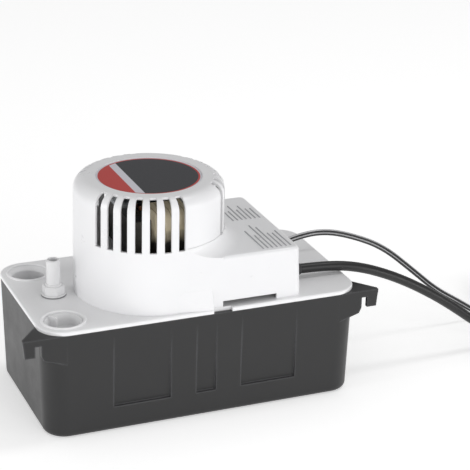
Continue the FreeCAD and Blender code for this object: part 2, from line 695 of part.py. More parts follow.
BOX_FRONT = f"{MOTOR_Y} - dim.cover_radius + dim.box_inset"
BOX_BACK = f"{MOTOR_Y} + dim.cover_radius - dim.box_inset"


def dome(name, wall):
    """Round cover, or its hollow when a wall is given."""
    body = new_body(name)
    foot = f"dim.cover_radius - {wall}"
    shoulder = f"dim.cover_radius - dim.cover_lean - {wall}"
    top = f"dim.cover_top - {wall}"
    points = [("0", DECK_TOP), (foot, DECK_TOP), (shoulder, top), ("0", top)]
    feature = spin(body, outline(sketch_on(body, "XZ_Plane"), points))
    fillet(body, feature, f"dim.cover_shoulder - {wall}", is_at(value(top)))
    return place(body, "dim.motor_x", MOTOR_Y)


def control_box(name, wall, top="dim.box_top", edge=None):
    """Control box beside the round cover, or its hollow when a wall is given."""
    low = ("dim.motor_x", f"{BOX_FRONT} + {wall}", f"dim.box_right - {wall}", f"{BOX_BACK} - {wall}")
    lean = f"dim.box_lean * ({top} - {DECK_TOP}) / (dim.box_top - {DECK_TOP})"
    side_lean = f"0.2 * {lean}"
    high = (
        "dim.motor_x", f"{BOX_FRONT} + {wall} + {side_lean}",
        f"dim.box_right - {wall} - {lean}", f"{BOX_BACK} - {wall} - {side_lean}",
    )
    body = new_body(name)
    solid = drafted(body, DECK_TOP, low, f"{top} - {wall}", high)
    right = value("dim.box_right") / 2
    feature = fillet(
        body, solid, f"dim.box_corner - {wall}",
        lambda item: is_upright(item) and item.CenterOfMass.x > right,
    )
    if edge is not None:
        level = value(f"{top} - {wall}")
        left = value("dim.motor_x")
        fillet(
            body, feature, edge,
            lambda item: is_at(level)(item) and item.CenterOfMass.x > left + 1,
        )
    return body


def air_slots():
    """Tools for the air slots: eight at the right, seven each side."""
    tools = []
    for centre, count in (("0", 8), ("-dim.slot_group", 7), ("dim.slot_group", 7)):
        for index in range(count):
            step = f"({index} - {(count - 1) / 2}) * dim.slot_pitch"
            body = new_body("air_slot")
            sides = ("dim.slot_reach", "-dim.slot_width / 2", "dim.cover_radius + 4", "dim.slot_width / 2")
            sketch = outline(sketch_on(body, "XY_Plane", "dim.slot_foot"), rectangle(*sides))
            pad(body, sketch, "dim.cover_top - dim.slot_foot + 2")
            place(body, "dim.motor_x", MOTOR_Y, "0", (0, 0, 1), f"{centre} + {step}")
            tools.append(body)
    return tools


def front_flare():
    """Foot of the cover's front wall, which swings out to the deck's front edge."""
    face = f"(-{DECK_WIDTH} / 2)"
    inner = f"({MOTOR_Y} - dim.cover_radius + dim.cover_wall + 3)"
    slope = new_body("flare_slope")
    points = [
        (inner, DECK_TOP), (face, DECK_TOP), (face, f"{DECK_TOP} + 1"),
        (f"{MOTOR_Y} - dim.cover_radius + 1", f"{DECK_TOP} + dim.flare_height"),
        (inner, f"{DECK_TOP} + dim.flare_height"),
    ]
    pad(slope, outline(sketch_on(slope, "YZ_Plane"), points), "dim.flare_right - dim.flare_left")
    place(slope, "dim.flare_left")
    plan = new_body("flare_plan")
    corners = [
        ("dim.flare_left", f"{face} + dim.flare_start"), ("dim.flare_right", face),
        ("dim.flare_right", inner), ("dim.flare_left", inner),
    ]
    pad(plan, outline(sketch_on(plan, "XY_Plane", DECK_TOP), corners), "dim.flare_height")
    return common(slope, plan)


def make_cover():
    """Round slotted cover with the control box, one moulding."""
    reach = "(dim.cover_radius + dim.blend_radius)"
    disc = rod("dim.motor_x", MOTOR_Y, "dim.box_top - 3", f"{reach} - 0.3",
               "dim.blend_radius + 2.7")
    ring = doc.addObject("Part::Torus", "blend_ring")
    bind(ring, Radius1=reach, Radius2="dim.blend_radius")
    place(ring, "dim.motor_x", MOTOR_Y, "dim.box_top + dim.blend_radius")
    blend = common(cut(disc, ring), control_box("blend_limit", "0", "dim.box_top + dim.blend_radius"))
    outer_box = control_box("box_outer", "0", edge="dim.box_edge_round")
    outer = fuse(dome("dome_outer", "0"), outer_box, blend, front_flare())
    hollow = fuse(
        dome("dome_hollow", "dim.cover_wall"),
        control_box("box_hollow", "dim.cover_wall"),
    )
    relief = block("dim.relief_left", f"{BOX_FRONT} - 2", DECK_TOP,
                   "dim.relief_right - dim.relief_left", "dim.cover_wall + 4", "dim.relief_height")
    recess = rod("dim.motor_x", MOTOR_Y, "dim.cover_top - dim.label_recess",
                 "dim.label_radius + dim.label_gap", "dim.label_recess + 1")
    exits = [
        rod("dim.box_right - 8", "dim.cord_exit_y", "dim.cord_exit_z",
            "dim.relief_neck + dim.wall_hole_gap", "10", (0, 1, 0), "90"),
        rod("dim.box_right - 8", "dim.twin_exit_y", "dim.twin_exit_z",
            "dim.grommet_neck + dim.wall_hole_gap", "10", (0, 1, 0), "90"),
    ]
    keep(cut(outer, hollow, relief, recess, *exits, *air_slots()), "motor_cover")


def make_label():
    """Plain round plate on the cover's top."""
    keep(rod("dim.motor_x", MOTOR_Y, "dim.cover_top - dim.label_recess", "dim.label_radius",
             "dim.label_thick"), "top_plate")


CP_ANGLE = f"atan2(-{MOTOR_Y}; {VALVE_X} - dim.motor_x)"
CP_LENGTH = f"hypot({MOTOR_Y}; {VALVE_X} - dim.motor_x)"
NOZZLE_ANGLE = f"({CP_ANGLE} + asin(dim.nozzle_offset / {CP_LENGTH}))"
NOZZLE_REACH = f"sqrt(pow({CP_LENGTH}; 2) - pow(dim.nozzle_offset; 2))"


def at_pump(item):
    """Turn a solid drawn with its outlet along X so that the outlet meets the check valve."""
    return place(item, "dim.motor_x", MOTOR_Y, "0", (0, 0, 1), NOZZLE_ANGLE)


def spiral(name, low, height, wall):
    """Snail-shaped block that widens over one turn, starting below the outlet."""
    body = new_body(name)
    points = []
    steps = 24
    for index in range(steps):
        angle = -90 + index * 360 / steps
        radius = (
            f"(dim.impeller_radius + dim.volute_gap + {wall}"
            f" + dim.volute_growth * {index / (steps - 1)})"
        )
        points.append((f"{radius} * {math.cos(math.radians(angle)):.6f}",
                       f"{radius} * {math.sin(math.radians(angle)):.6f}"))
    pad(body, outline(sketch_on(body, "XY_Plane", low), points), height)
    return body


def along_x(x, y, z, radius, length):
    """Rod along X."""
    return rod(x, y, z, radius, length, (0, 1, 0), "90")


def make_casing():
    """Pump casing with its outlet, and the column that hangs it under the deck."""
    outlet = ("0", "-dim.nozzle_offset", "dim.nozzle_height")
    height = "dim.volute_head - dim.volute_foot"
    flange_z = "(dim.tank_height - dim.column_flange_thick)"
    solids = [
        spiral("casing_outer", "dim.volute_foot", height, "dim.volute_wall"),
        along_x(*outlet, "dim.nozzle_bore + dim.volute_wall + 1.4", "dim.nozzle_end - dim.nozzle_barb"),
        along_x(*outlet, "dim.barb_radius", "dim.nozzle_end"),
        rod("0", "0", "dim.volute_head - 1", "dim.column_radius",
            "dim.tank_height - dim.volute_head + 1"),
        rod("0", "0", flange_z, "dim.column_flange", "dim.column_flange_thick"),
    ]
    tools = [
        spiral("casing_hollow", "dim.volute_foot", f"{height} - dim.volute_wall", "0"),
        along_x(*outlet, "dim.nozzle_bore", "dim.nozzle_end"),
        rod("0", "0", "dim.volute_head", "dim.column_radius - dim.column_wall",
            "dim.tank_height - dim.volute_head"),
        rod("0", "0", "dim.volute_head - dim.volute_wall", "dim.impeller_hub + 0.6",
            "dim.volute_wall"),
    ]
    for index in range(3):
        window = new_body("column_window")
        sides = ("dim.column_radius - 6", "-dim.window_width / 2", "dim.column_radius + 2",
                 "dim.window_width / 2")
        sketch = outline(sketch_on(window, "XY_Plane", "dim.volute_head + dim.window_foot"),
                         rectangle(*sides))
        pad(window, sketch, "dim.window_height")
        tools.append(place(window, "0", "0", "0", (0, 0, 1), f"{index} * 120"))
    casing = at_pump(cut(fuse(*solids), *tools))
    holes = casing_screw_rods(flange_z, "dim.column_flange_thick", "dim.casing_screw + 0.02")
    keep(cut(casing, *holes), "pump_casing")
    screws = casing_screw_rods(f"{flange_z} + 0.3", f"{DECK_TOP} - {flange_z} - 0.3", "dim.casing_screw")
    heads = casing_screw_rods(DECK_TOP, "dim.casing_screw_head", "2 * dim.casing_screw")
    keep(group(*[fuse(*pair) for pair in zip(screws, heads)]), "casing_screws")


def make_intake():
    """Plate under the casing with the intake and three feet."""
    plate = spiral("intake_spiral", "dim.volute_foot - dim.intake_plate", "dim.intake_plate",
                   "dim.volute_wall")
    legs = [
        rod(f"dim.casing_screw_reach * {math.cos(math.radians(angle)):.6f}",
            f"dim.casing_screw_reach * {math.sin(math.radians(angle)):.6f}",
            "dim.volute_foot - dim.intake_plate - dim.intake_leg", "dim.intake_leg_radius",
            "dim.intake_leg + 0.1")
        for angle in (60, 180, 300)
    ]
    eye = rod("0", "0", "dim.volute_foot - dim.intake_plate", "dim.eye_radius", "dim.intake_plate")
    keep(at_pump(cut(fuse(plate, *legs), eye)), "intake_plate")


def polar(body, feature, count):
    """Repeat a feature about the body's upright axis and make that the body's result."""
    pattern = body.newObject("PartDesign::PolarPattern", "pattern")
    pattern.Originals = [feature]
    axis = [item for item in body.Origin.OriginFeatures if item.Role == "Z_Axis"][0]
    pattern.Axis = (axis, [""])
    pattern.Angle = 360
    pattern.Occurrences = count
    body.Tip = pattern
    return pattern


def make_impeller():
    """Open pump wheel: a disc with swept vanes under it."""
    body = new_body("impeller_body")
    disc_z = "(dim.impeller_foot + dim.impeller_vane)"
    hub_top = f"{disc_z} + dim.impeller_disc + 2.4"
    bore = "dim.shaft_radius + dim.press_gap"
    spin(body, outline(sketch_on(body, "XZ_Plane"), [
        (bore, "dim.impeller_foot"), ("dim.impeller_hub", "dim.impeller_foot"),
        ("dim.impeller_hub", disc_z), ("dim.impeller_radius", disc_z),
        ("dim.impeller_radius", f"{disc_z} + dim.impeller_disc"),
        ("dim.impeller_hub", f"{disc_z} + dim.impeller_disc"),
        ("dim.impeller_hub", hub_top), (bore, hub_top),
    ]))
    doc.recompute()
    tip = "(dim.impeller_radius - 0.6)"
    vane = outline(sketch_on(body, "XY_Plane", "dim.impeller_foot"), [
        ("dim.impeller_hub - 1", "0"), (f"0.6 * {tip}", f"-0.12 * {tip}"),
        (f"0.88 * {tip}", f"-0.42 * {tip}"),
        (f"0.88 * {tip} - dim.vane_thick", f"-0.42 * {tip} - 0.3"),
        (f"0.6 * {tip} - 0.6", f"-0.12 * {tip} - dim.vane_thick"),
        ("dim.impeller_hub - 1", "-dim.vane_thick"),
    ])
    polar(body, pad(body, vane, "dim.impeller_vane + 0.1"), 6)
    keep(place(body, "dim.motor_x", MOTOR_Y), "impeller")


def make_fan():
    """Cooling fan under the motor."""
    body = new_body("fan_body")
    bore = "dim.shaft_radius + dim.press_gap"
    top = "dim.fan_foot + dim.fan_height"
    spin(body, outline(sketch_on(body, "XZ_Plane"), [
        (bore, "dim.fan_foot"), ("dim.fan_hub", "dim.fan_foot"), ("dim.fan_hub", top), (bore, top),
    ]))
    doc.recompute()
    slant = "dim.fan_height * tan(dim.blade_slant)"
    blade = outline(sketch_on(body, "YZ_Plane", "dim.fan_hub - 1"), [
        (f"-({slant}) / 2", "dim.fan_foot + 0.2"),
        (f"-({slant}) / 2 + dim.blade_thick", "dim.fan_foot + 0.2"),
        (f"({slant}) / 2 + dim.blade_thick", f"{top} - 0.2"), (f"({slant}) / 2", f"{top} - 0.2"),
    ])
    polar(body, pad(body, blade, "dim.fan_radius - dim.fan_hub + 1"), 7)
    keep(place(body, "dim.motor_x", MOTOR_Y), "cooling_fan")


def tube(label, low, outer, inner, height):
    """Ring on the motor's axis."""
    at = ("dim.motor_x", MOTOR_Y, low)
    keep(cut(rod(*at, outer, height), rod(*at, inner, height)), label)


def at_motor(x, y):
    """Place given from the motor's axis."""
    return (f"dim.motor_x + {x}", f"{MOTOR_Y} + {y}")


STACK_TOP = "(dim.stack_foot + dim.stack_height)"
LOWER_BEARING = "(dim.post_top - 1.6)"
UPPER_BEARING = f"({STACK_TOP} + 3)"
UPPER_STRAP = f"({STACK_TOP} + 4.6)"


def make_rotating():
    """Shaft with what is pressed on it."""
    shaft = rod("dim.motor_x", MOTOR_Y, "dim.shaft_foot", "dim.shaft_radius",
                "dim.shaft_head - dim.shaft_foot")
    keep(shaft, "motor_shaft")
    tube("rotor", "dim.stack_foot - dim.rotor_extra", "dim.rotor_radius",
         "dim.shaft_radius + dim.press_gap", "dim.stack_height + 2 * dim.rotor_extra")
    tube("slinger", "dim.slinger_height", "dim.slinger_radius", "dim.shaft_radius + dim.press_gap",
         "dim.slinger_thick")
    make_impeller()
    make_fan()


def make_brackets():
    """Lower strap on the deck's posts and upper strap on the stack, each with its bearing."""
    hub_bore = "dim.bearing_radius + dim.press_gap"
    half = "(dim.strap_width / 2)"
    strap = block(*at_motor("-dim.post_reach - 5.5", f"-{half}"), "dim.post_top",
                  "2 * dim.post_reach + 11", "dim.strap_width", "dim.strap_thick")
    hub = rod("dim.motor_x", MOTOR_Y, LOWER_BEARING, "dim.bearing_hub", "dim.bearing_length")
    tools = [rod("dim.motor_x", MOTOR_Y, LOWER_BEARING, hub_bore, "dim.bearing_length")]
    for side in (-1, 1):
        for reach in ("dim.post_reach", "dim.bolt_reach"):
            tools.append(rod(*at_motor(f"{side} * {reach}", "0"), "dim.post_top",
                             "dim.bolt_radius + dim.bolt_gap", "dim.strap_thick"))
    keep(cut(fuse(strap, hub), *tools), "lower_bracket")

    body = new_body("upper_strap")
    inner = "(dim.rotor_radius + 1.5)"
    outer = f"({inner} + dim.strap_thick)"
    edge = "dim.stack_half"
    foot_top = f"{STACK_TOP} + dim.strap_thick"
    top = f"{UPPER_STRAP} + dim.strap_thick"
    hat = [
        (f"-{edge}", STACK_TOP), (f"-{inner}", STACK_TOP), (f"-{inner}", UPPER_STRAP),
        (inner, UPPER_STRAP), (inner, STACK_TOP), (edge, STACK_TOP), (edge, foot_top),
        (outer, foot_top), (outer, top), (f"-{outer}", top), (f"-{outer}", foot_top),
        (f"-{edge}", foot_top),
    ]
    pad(body, outline(sketch_on(body, "XZ_Plane", f"-{half}"), hat), "dim.strap_width")
    place(body, "dim.motor_x", MOTOR_Y)
    hub = rod("dim.motor_x", MOTOR_Y, UPPER_BEARING, "dim.bearing_hub", "dim.bearing_length")
    tools = [rod("dim.motor_x", MOTOR_Y, UPPER_BEARING, hub_bore, "dim.bearing_length")]
    for side in (-1, 1):
        tools.append(rod(*at_motor(f"{side} * dim.bolt_reach", "0"), STACK_TOP,
                         "dim.bolt_radius + dim.bolt_gap", "dim.strap_thick"))
    keep(cut(fuse(body, hub), *tools), "upper_bracket")
    for label, low in (("lower_bearing", LOWER_BEARING), ("upper_bearing", UPPER_BEARING)):
        tube(label, low, "dim.bearing_radius", "dim.shaft_radius + dim.running_gap",
             "dim.bearing_length")


def ring_bars(side, gap):
    """Two upright bars of a shading ring, or their slots when a gap is given."""
    x = "dim.ring_x" if side > 0 else "-dim.ring_x - dim.ring_bar"
    bars = []
    for near in ("dim.ring_near", "(dim.ring_far - dim.ring_bar)"):
        y = near if side > 0 else f"-{near} - dim.ring_bar"
        bars.append(block(*at_motor(f"({x}) - {gap}", f"({y}) - {gap}"), "dim.stack_foot",
                          f"dim.ring_bar + 2 * {gap}", f"dim.ring_bar + 2 * {gap}",
                          "dim.stack_height"))
    return bars


def make_rings():
    """Copper shading rings through the stack, one at each pole."""
    rings = []
    for side in (-1, 1):
        x = "dim.ring_x" if side > 0 else "-dim.ring_x - dim.ring_bar"
        y = "dim.ring_near" if side > 0 else "-dim.ring_far"
        ends = [
            block(*at_motor(x, y), z, "dim.ring_bar", "dim.ring_far - dim.ring_near", "dim.ring_bar")
            for z in ("dim.stack_foot - dim.ring_bar", STACK_TOP)
        ]
        rings.append(fuse(*ring_bars(side, "0"), *ends))
    keep(group(*rings), "shading_rings")


def make_stator():
    """Lamination stack with its window, bobbin, winding, shading rings, spacers and bolts."""
    front = "-dim.stack_front"
    stack = block(*at_motor("-dim.stack_half", front), "dim.stack_foot", "2 * dim.stack_half",
                  "dim.stack_front + dim.stack_back", "dim.stack_height")
    window = block(*at_motor("-dim.stack_half + dim.stack_post", f"{front} + dim.stack_leg"),
                   "dim.stack_foot", "2 * (dim.stack_half - dim.stack_post)", "dim.stack_window",
                   "dim.stack_height")
    tools = [window, rod("dim.motor_x", MOTOR_Y, "dim.stack_foot",
                         "dim.rotor_radius + dim.air_gap", "dim.stack_height")]
    for side in (-1, 1):
        tools.append(rod(*at_motor(f"{side} * dim.bolt_reach", "0"), "dim.stack_foot",
                         "dim.bolt_radius + dim.bolt_gap", "dim.stack_height"))
        tools += ring_bars(side, "dim.press_gap")
    make_rings()
    keep(cut(stack, *tools), "stator_stack")
    leg = ("dim.stack_leg + 2 * dim.bobbin_gap", "dim.stack_height + 2 * dim.bobbin_gap")
    core_y = f"{front} - dim.bobbin_gap"
    core_z = "dim.stack_foot - dim.bobbin_gap"
    length = "(dim.coil_right - dim.coil_left)"

    def sleeve(left, grow, span):
        return block(*at_motor(left, f"{core_y} - {grow}"), f"{core_z} - {grow}", span,
                     f"{leg[0]} + 2 * {grow}", f"{leg[1]} + 2 * {grow}")

    flange_grow = "(dim.bobbin_wall + dim.coil_build)"
    bobbin = fuse(
        sleeve("dim.coil_left", "dim.bobbin_wall", length),
        sleeve("dim.coil_left", flange_grow, "dim.bobbin_wall"),
        sleeve("dim.coil_right - dim.bobbin_wall", flange_grow, "dim.bobbin_wall"),
    )
    keep(cut(bobbin, sleeve("dim.coil_left", "0", length)), "coil_bobbin")
    body = new_body("winding_body")
    wide = "(dim.stack_leg / 2 + dim.bobbin_gap + dim.bobbin_wall + dim.coil_build - 0.4)"
    tall = "(dim.stack_height / 2 + dim.bobbin_gap + dim.bobbin_wall + dim.coil_build - 0.4)"
    section = outline(sketch_on(body, "YZ_Plane"), rectangle(f"-{wide}", f"-{tall}", wide, tall))
    bundle = pad(body, section, f"{length} - 2 * dim.bobbin_wall")
    fillet(body, bundle, "dim.coil_build - 1",
           lambda edge: abs(edge.Vertexes[0].X - edge.Vertexes[-1].X) > 1)
    place(body, "dim.motor_x + dim.coil_left + dim.bobbin_wall",
          f"{MOTOR_Y} - dim.stack_front + dim.stack_leg / 2", "dim.stack_foot + dim.stack_height / 2")
    keep(cut(body, sleeve("dim.coil_left", "dim.bobbin_wall", length)), "coil_winding")
    spacers = []
    bolts = []
    nut_z = "dim.post_top - 2.6"
    for side in (-1, 1):
        x, y = at_motor(f"{side} * dim.bolt_reach", "0")
        low = "(dim.post_top + dim.strap_thick)"
        height = f"dim.stack_foot - {low}"
        spacers.append(cut(rod(x, y, low, "dim.spacer_radius", height),
                           rod(x, y, low, "dim.bolt_radius + dim.bolt_gap", height)))
        head = rod(x, y, f"{STACK_TOP} + dim.strap_thick", "dim.bolt_head", "dim.bolt_head_height")
        shank = rod(x, y, nut_z, "dim.bolt_radius", f"{STACK_TOP} + dim.strap_thick - {nut_z}")
        nut = rod(x, y, nut_z, "dim.bolt_head", "dim.bolt_head_height")
        bolts.append(fuse(head, shank, nut))
    keep(group(*spacers), "stack_spacers")
    keep(group(*bolts), "through_bolts")
    screws = []
    for side in (-1, 1):
        x, y = at_motor(f"{side} * dim.post_reach", "0")
        shank_z = "dim.post_top - dim.motor_screw_long"
        screws.append(fuse(
            rod(x, y, "dim.post_top + dim.strap_thick", "dim.bolt_head", "dim.motor_screw_head"),
            rod(x, y, shank_z, "dim.bolt_radius - dim.press_gap", "dim.motor_screw_long + dim.strap_thick"),
        ))
    keep(group(*screws), "motor_screws")


SWITCH_FOOT = "(dim.pump_lever_height + dim.lever_thick + dim.button_out)"
PIVOT_Y = f"({SWITCH_Y} + dim.switch_length - dim.pivot_inset)"
PIVOT_Z = "(dim.pump_lever_height + dim.lever_thick / 2)"


def make_float():
    """Float on its rod, and the rod's guide in the deck."""
    hole = "dim.rod_radius + dim.press_gap"
    sides = ("dim.float_x - dim.float_length / 2", f"{FLOAT_Y} - dim.float_width / 2",
             "dim.float_x + dim.float_length / 2", f"{FLOAT_Y} + dim.float_width / 2")
    block_body = tub("float_block", "dim.float_foot", sides, "dim.float_foot + dim.float_thick", sides,
                     "dim.float_corner", foot_round="dim.float_round", head_round="dim.float_round")
    keep(cut(block_body, rod("dim.float_x", FLOAT_Y, "dim.float_foot", hole, "dim.float_thick")), "float")
    head = "dim.pump_lever_height - dim.lost_motion - dim.float_travel"
    rod_foot = "(dim.float_foot + dim.rod_inset)"
    keep(rod("dim.float_x", FLOAT_Y, rod_foot, "dim.rod_radius", f"{head} - {rod_foot}"), "float_rod")
    low = "dim.tank_height - dim.guide_depth"
    guide = fuse(
        rod("dim.float_x", FLOAT_Y, low, "dim.guide_radius", f"{DECK_TOP} - ({low})"),
        rod("dim.float_x", FLOAT_Y, DECK_TOP, "dim.guide_flange", "dim.guide_flange_thick"),
    )
    bore = rod("dim.float_x", FLOAT_Y, low, "dim.rod_radius + dim.running_gap", "60")
    keep(cut(guide, bore), "float_guide")


def make_switch(name, side, lift):
    """Snap switch: case, lever with its barrel, pin and button. Side -1 lies towards -X."""
    def across(near, far):
        low = f"dim.float_x + {near}" if side > 0 else f"dim.float_x - ({far})"
        return low, f"({far}) - ({near})"

    def beam(near, far, y, z, radius):
        low, length = across(near, far)
        return along_x(low, y, z, radius, length)

    def plate(near, far, y, z, width, height):
        low, length = across(near, far)
        return block(low, y, z, length, width, height)

    foot = f"({SWITCH_FOOT} + {lift})"
    pivot = f"({PIVOT_Z} + {lift})"
    bar = f"(dim.pump_lever_height + {lift})"
    far_side = "dim.switch_gap + dim.switch_thick"
    ear_in = "dim.switch_gap + dim.switch_ear"
    lever_far = "dim.lever_inset + dim.lever_width"
    ear_out = f"{lever_far} + dim.lever_play + dim.switch_ear"
    ear_low = f"({pivot} - dim.barrel_radius)"
    case = plate("dim.switch_gap", far_side, SWITCH_Y, foot, "dim.switch_length",
                 "dim.switch_height")
    ears = [
        plate(near, far, f"{PIVOT_Y} - 1.8", ear_low, "dim.pivot_inset + 1.8", f"{foot} - {ear_low} + 0.5")
        for near, far in (("dim.switch_gap", ear_in), (f"{lever_far} + dim.lever_play", ear_out))
    ]
    low, length = across("dim.lever_inset", lever_far)
    middle = f"({low} + ({length}) / 2)"
    button_y = f"({PIVOT_Y} - dim.button_back)"
    holes = [
        beam("dim.switch_gap", ear_out, PIVOT_Y, pivot, "dim.pivot_radius + dim.press_gap"),
        rod(middle, button_y, foot, "dim.button_radius + dim.running_gap", "5"),
    ]
    holes += [
        beam("dim.switch_gap", far_side, y, SCREW_Z, "dim.small_screw + dim.press_gap")
        for y in SCREW_Y
    ]
    keep(cut(fuse(case, *ears), *holes), f"{name}_switch")
    tongue = (f"{ear_in} + dim.lever_play", lever_far)
    lever = fuse(
        plate("dim.lever_inset", lever_far, f"{FLOAT_Y} - dim.lever_over", bar,
              f"{PIVOT_Y} - 2.2 - {FLOAT_Y} + dim.lever_over", "dim.lever_thick"),
        plate(*tongue, f"{PIVOT_Y} - 3", bar, "3", "dim.lever_thick"),
        beam(*tongue, PIVOT_Y, pivot, "dim.barrel_radius"),
    )
    bore = beam(*tongue, PIVOT_Y, pivot, "dim.pivot_radius + dim.running_gap")
    keep(cut(lever, bore), f"{name}_lever")
    keep(beam("dim.switch_gap", ear_out, PIVOT_Y, pivot, "dim.pivot_radius"), f"{name}_lever_pin")
    keep(rod(middle, button_y, f"{bar} + dim.lever_thick + dim.button_gap", "dim.button_radius", "5"),
         f"{name}_button")


SCREW_Z = f"({SWITCH_FOOT} + dim.switch_screw_height)"
SCREW_Y = (f"({SWITCH_Y} + dim.switch_screw_inset)",
           f"({SWITCH_Y} + dim.switch_length - dim.switch_screw_inset)")


def make_switch_bracket():
    """Plate that carries both switches, with its foot on the deck and its screws."""
    x = "(dim.float_x + dim.switch_gap + dim.switch_thick)"
    top = f"({SWITCH_FOOT} + dim.overflow_step + dim.switch_height)"
    near = f"{SWITCH_Y} + dim.plate_notch"
    plate = block(x, SWITCH_Y, DECK_TOP, "dim.plate_thick", "dim.switch_length",
                  f"{top} - {DECK_TOP}")
    foot = block(x, near, DECK_TOP, "dim.bracket_foot", "dim.switch_length - dim.plate_notch",
                 "dim.plate_thick")
    notch = block(x, SWITCH_Y, DECK_TOP, "dim.plate_thick", "dim.plate_notch",
                  "dim.plate_notch_height")
    holes = [along_x(x, y, SCREW_Z, "dim.small_screw + dim.press_gap", "dim.plate_thick") for y in SCREW_Y]
    holes += bracket_screw_rods(DECK_TOP, "dim.plate_thick", "dim.small_screw + dim.press_gap")
    keep(cut(fuse(plate, foot), notch, *holes), "switch_bracket")
    shanks = bracket_screw_rods("dim.tank_height + 0.2",
                                "dim.deck_thick + dim.plate_thick - 0.2", "dim.small_screw")
    heads = bracket_screw_rods(f"{DECK_TOP} + dim.plate_thick", "dim.bracket_head_height",
                               "dim.bracket_head")
    keep(group(*[fuse(*pair) for pair in zip(shanks, heads)]), "bracket_screws")
    start = "dim.float_x - dim.switch_gap - dim.switch_thick"
    screws = []
    for y in SCREW_Y:
        shank = along_x(start, y, SCREW_Z, "dim.small_screw",
                        "2 * (dim.switch_gap + dim.switch_thick) + dim.plate_thick"
                        " + dim.small_nut_height + 0.2")
        head = along_x(f"{start} - dim.small_head_height", y, SCREW_Z, "dim.small_head",
                       "dim.small_head_height")
        nut = along_x(f"{x} + dim.plate_thick", y, SCREW_Z, "dim.small_head", "dim.small_nut_height")
        screws.append(fuse(shank, head, nut))
    keep(group(*screws), "switch_screws")


def make_valve():
    """Check valve: body with hexagon and hose stem, flat seal under it and its poppet."""
    seal_top = f"({DECK_TOP} + dim.seal_thick)"
    flange_top = f"({seal_top} + dim.valve_flange_thick)"
    hex_top = f"({flange_top} + dim.valve_hex_height)"
    stem_top = f"({hex_top} + dim.stem_length)"
    shank_foot = "(dim.chamber_foot - dim.valve_floor)"
    barb_foot = f"({shank_foot} - dim.barb_length)"
    turned_part = turned("valve_outer", [
        ("dim.barb_bore", barb_foot), ("dim.barb_radius - 0.8", barb_foot),
        ("dim.barb_radius", f"{barb_foot} + 2"), ("dim.barb_radius", shank_foot),
        ("dim.valve_thread", shank_foot), ("dim.valve_thread", seal_top),
        ("dim.valve_flange", seal_top), ("dim.valve_flange", flange_top),
        ("dim.stem_radius", flange_top), ("dim.stem_radius", f"{stem_top} - 1"),
        ("dim.stem_radius - 0.7", stem_top), ("dim.stem_bore", stem_top),
        ("dim.stem_bore", "dim.chamber_head"), ("dim.chamber_radius", "dim.chamber_head"),
        ("dim.chamber_radius", "dim.chamber_foot"), ("dim.barb_bore", "dim.chamber_foot"),
    ], VALVE_X)
    hexagon = new_body("valve_hexagon")
    corner = "dim.valve_hex / sqrt(3)"
    points = [
        (f"{corner} * {math.cos(math.radians(angle)):.6f}",
         f"{corner} * {math.sin(math.radians(angle)):.6f}")
        for angle in range(-90, 270, 60)
    ]
    pad(hexagon, outline(sketch_on(hexagon, "XY_Plane", f"{flange_top} - 0.1"), points),
        "dim.valve_hex_height + 0.1")
    place(hexagon, VALVE_X)
    bore = rod(VALVE_X, "0", f"{flange_top} - 1", "dim.stem_bore", "dim.valve_hex_height + 2")
    keep(fuse(turned_part, cut(hexagon, bore)), "check_valve_body")
    seal = rod(VALVE_X, "0", DECK_TOP, "dim.valve_flange", "dim.seal_thick")
    inside = rod(VALVE_X, "0", DECK_TOP, "dim.valve_thread + dim.valve_hole_gap", "dim.seal_thick")
    keep(cut(seal, inside), "valve_seal")
    low = "(dim.chamber_foot + dim.poppet_gap)"
    fins = []
    for index in range(3):
        fin = new_body("poppet_fin")
        sides = ("0", "-0.6", "dim.chamber_radius - dim.poppet_gap", "0.6")
        pad(fin, outline(sketch_on(fin, "XY_Plane", low), rectangle(*sides)), "dim.poppet_height")
        fins.append(place(fin, VALVE_X, "0", "0", (0, 0, 1), f"{index} * 120"))
    keep(fuse(rod(VALVE_X, "0", low, "dim.poppet_radius", "1.6"), *fins), "valve_poppet")


def make_pipe():
    """Discharge pipe from the pump's outlet up to the check valve."""
    shape = None
    reach = value(NOZZLE_REACH)
    bend = value("dim.pipe_bend")
    height = value("dim.nozzle_height")
    start = value("dim.nozzle_end - dim.nozzle_barb")
    top = value("dim.chamber_foot - dim.valve_floor")
    offset = -value("dim.nozzle_offset")
    middle = Vector(reach - bend + bend * math.sin(math.pi / 4), offset,
                    height + bend - bend * math.cos(math.pi / 4))
    edges = [
        Part.LineSegment(Vector(start, offset, height), Vector(reach - bend, offset, height)).toShape(),
        Part.Arc(Vector(reach - bend, offset, height), middle,
                 Vector(reach, offset, height + bend)).toShape(),
        Part.LineSegment(Vector(reach, offset, height + bend), Vector(reach, offset, top)).toShape(),
    ]
    for radius in (value("dim.pipe_radius"), value("dim.barb_radius + dim.pipe_gap")):
        tube_shape = sweep(Part.Wire(edges), radius)
        shape = tube_shape if shape is None else shape.cut(tube_shape)
    keep(at_pump(solid("discharge_pipe_shape", shape)), "discharge_pipe")


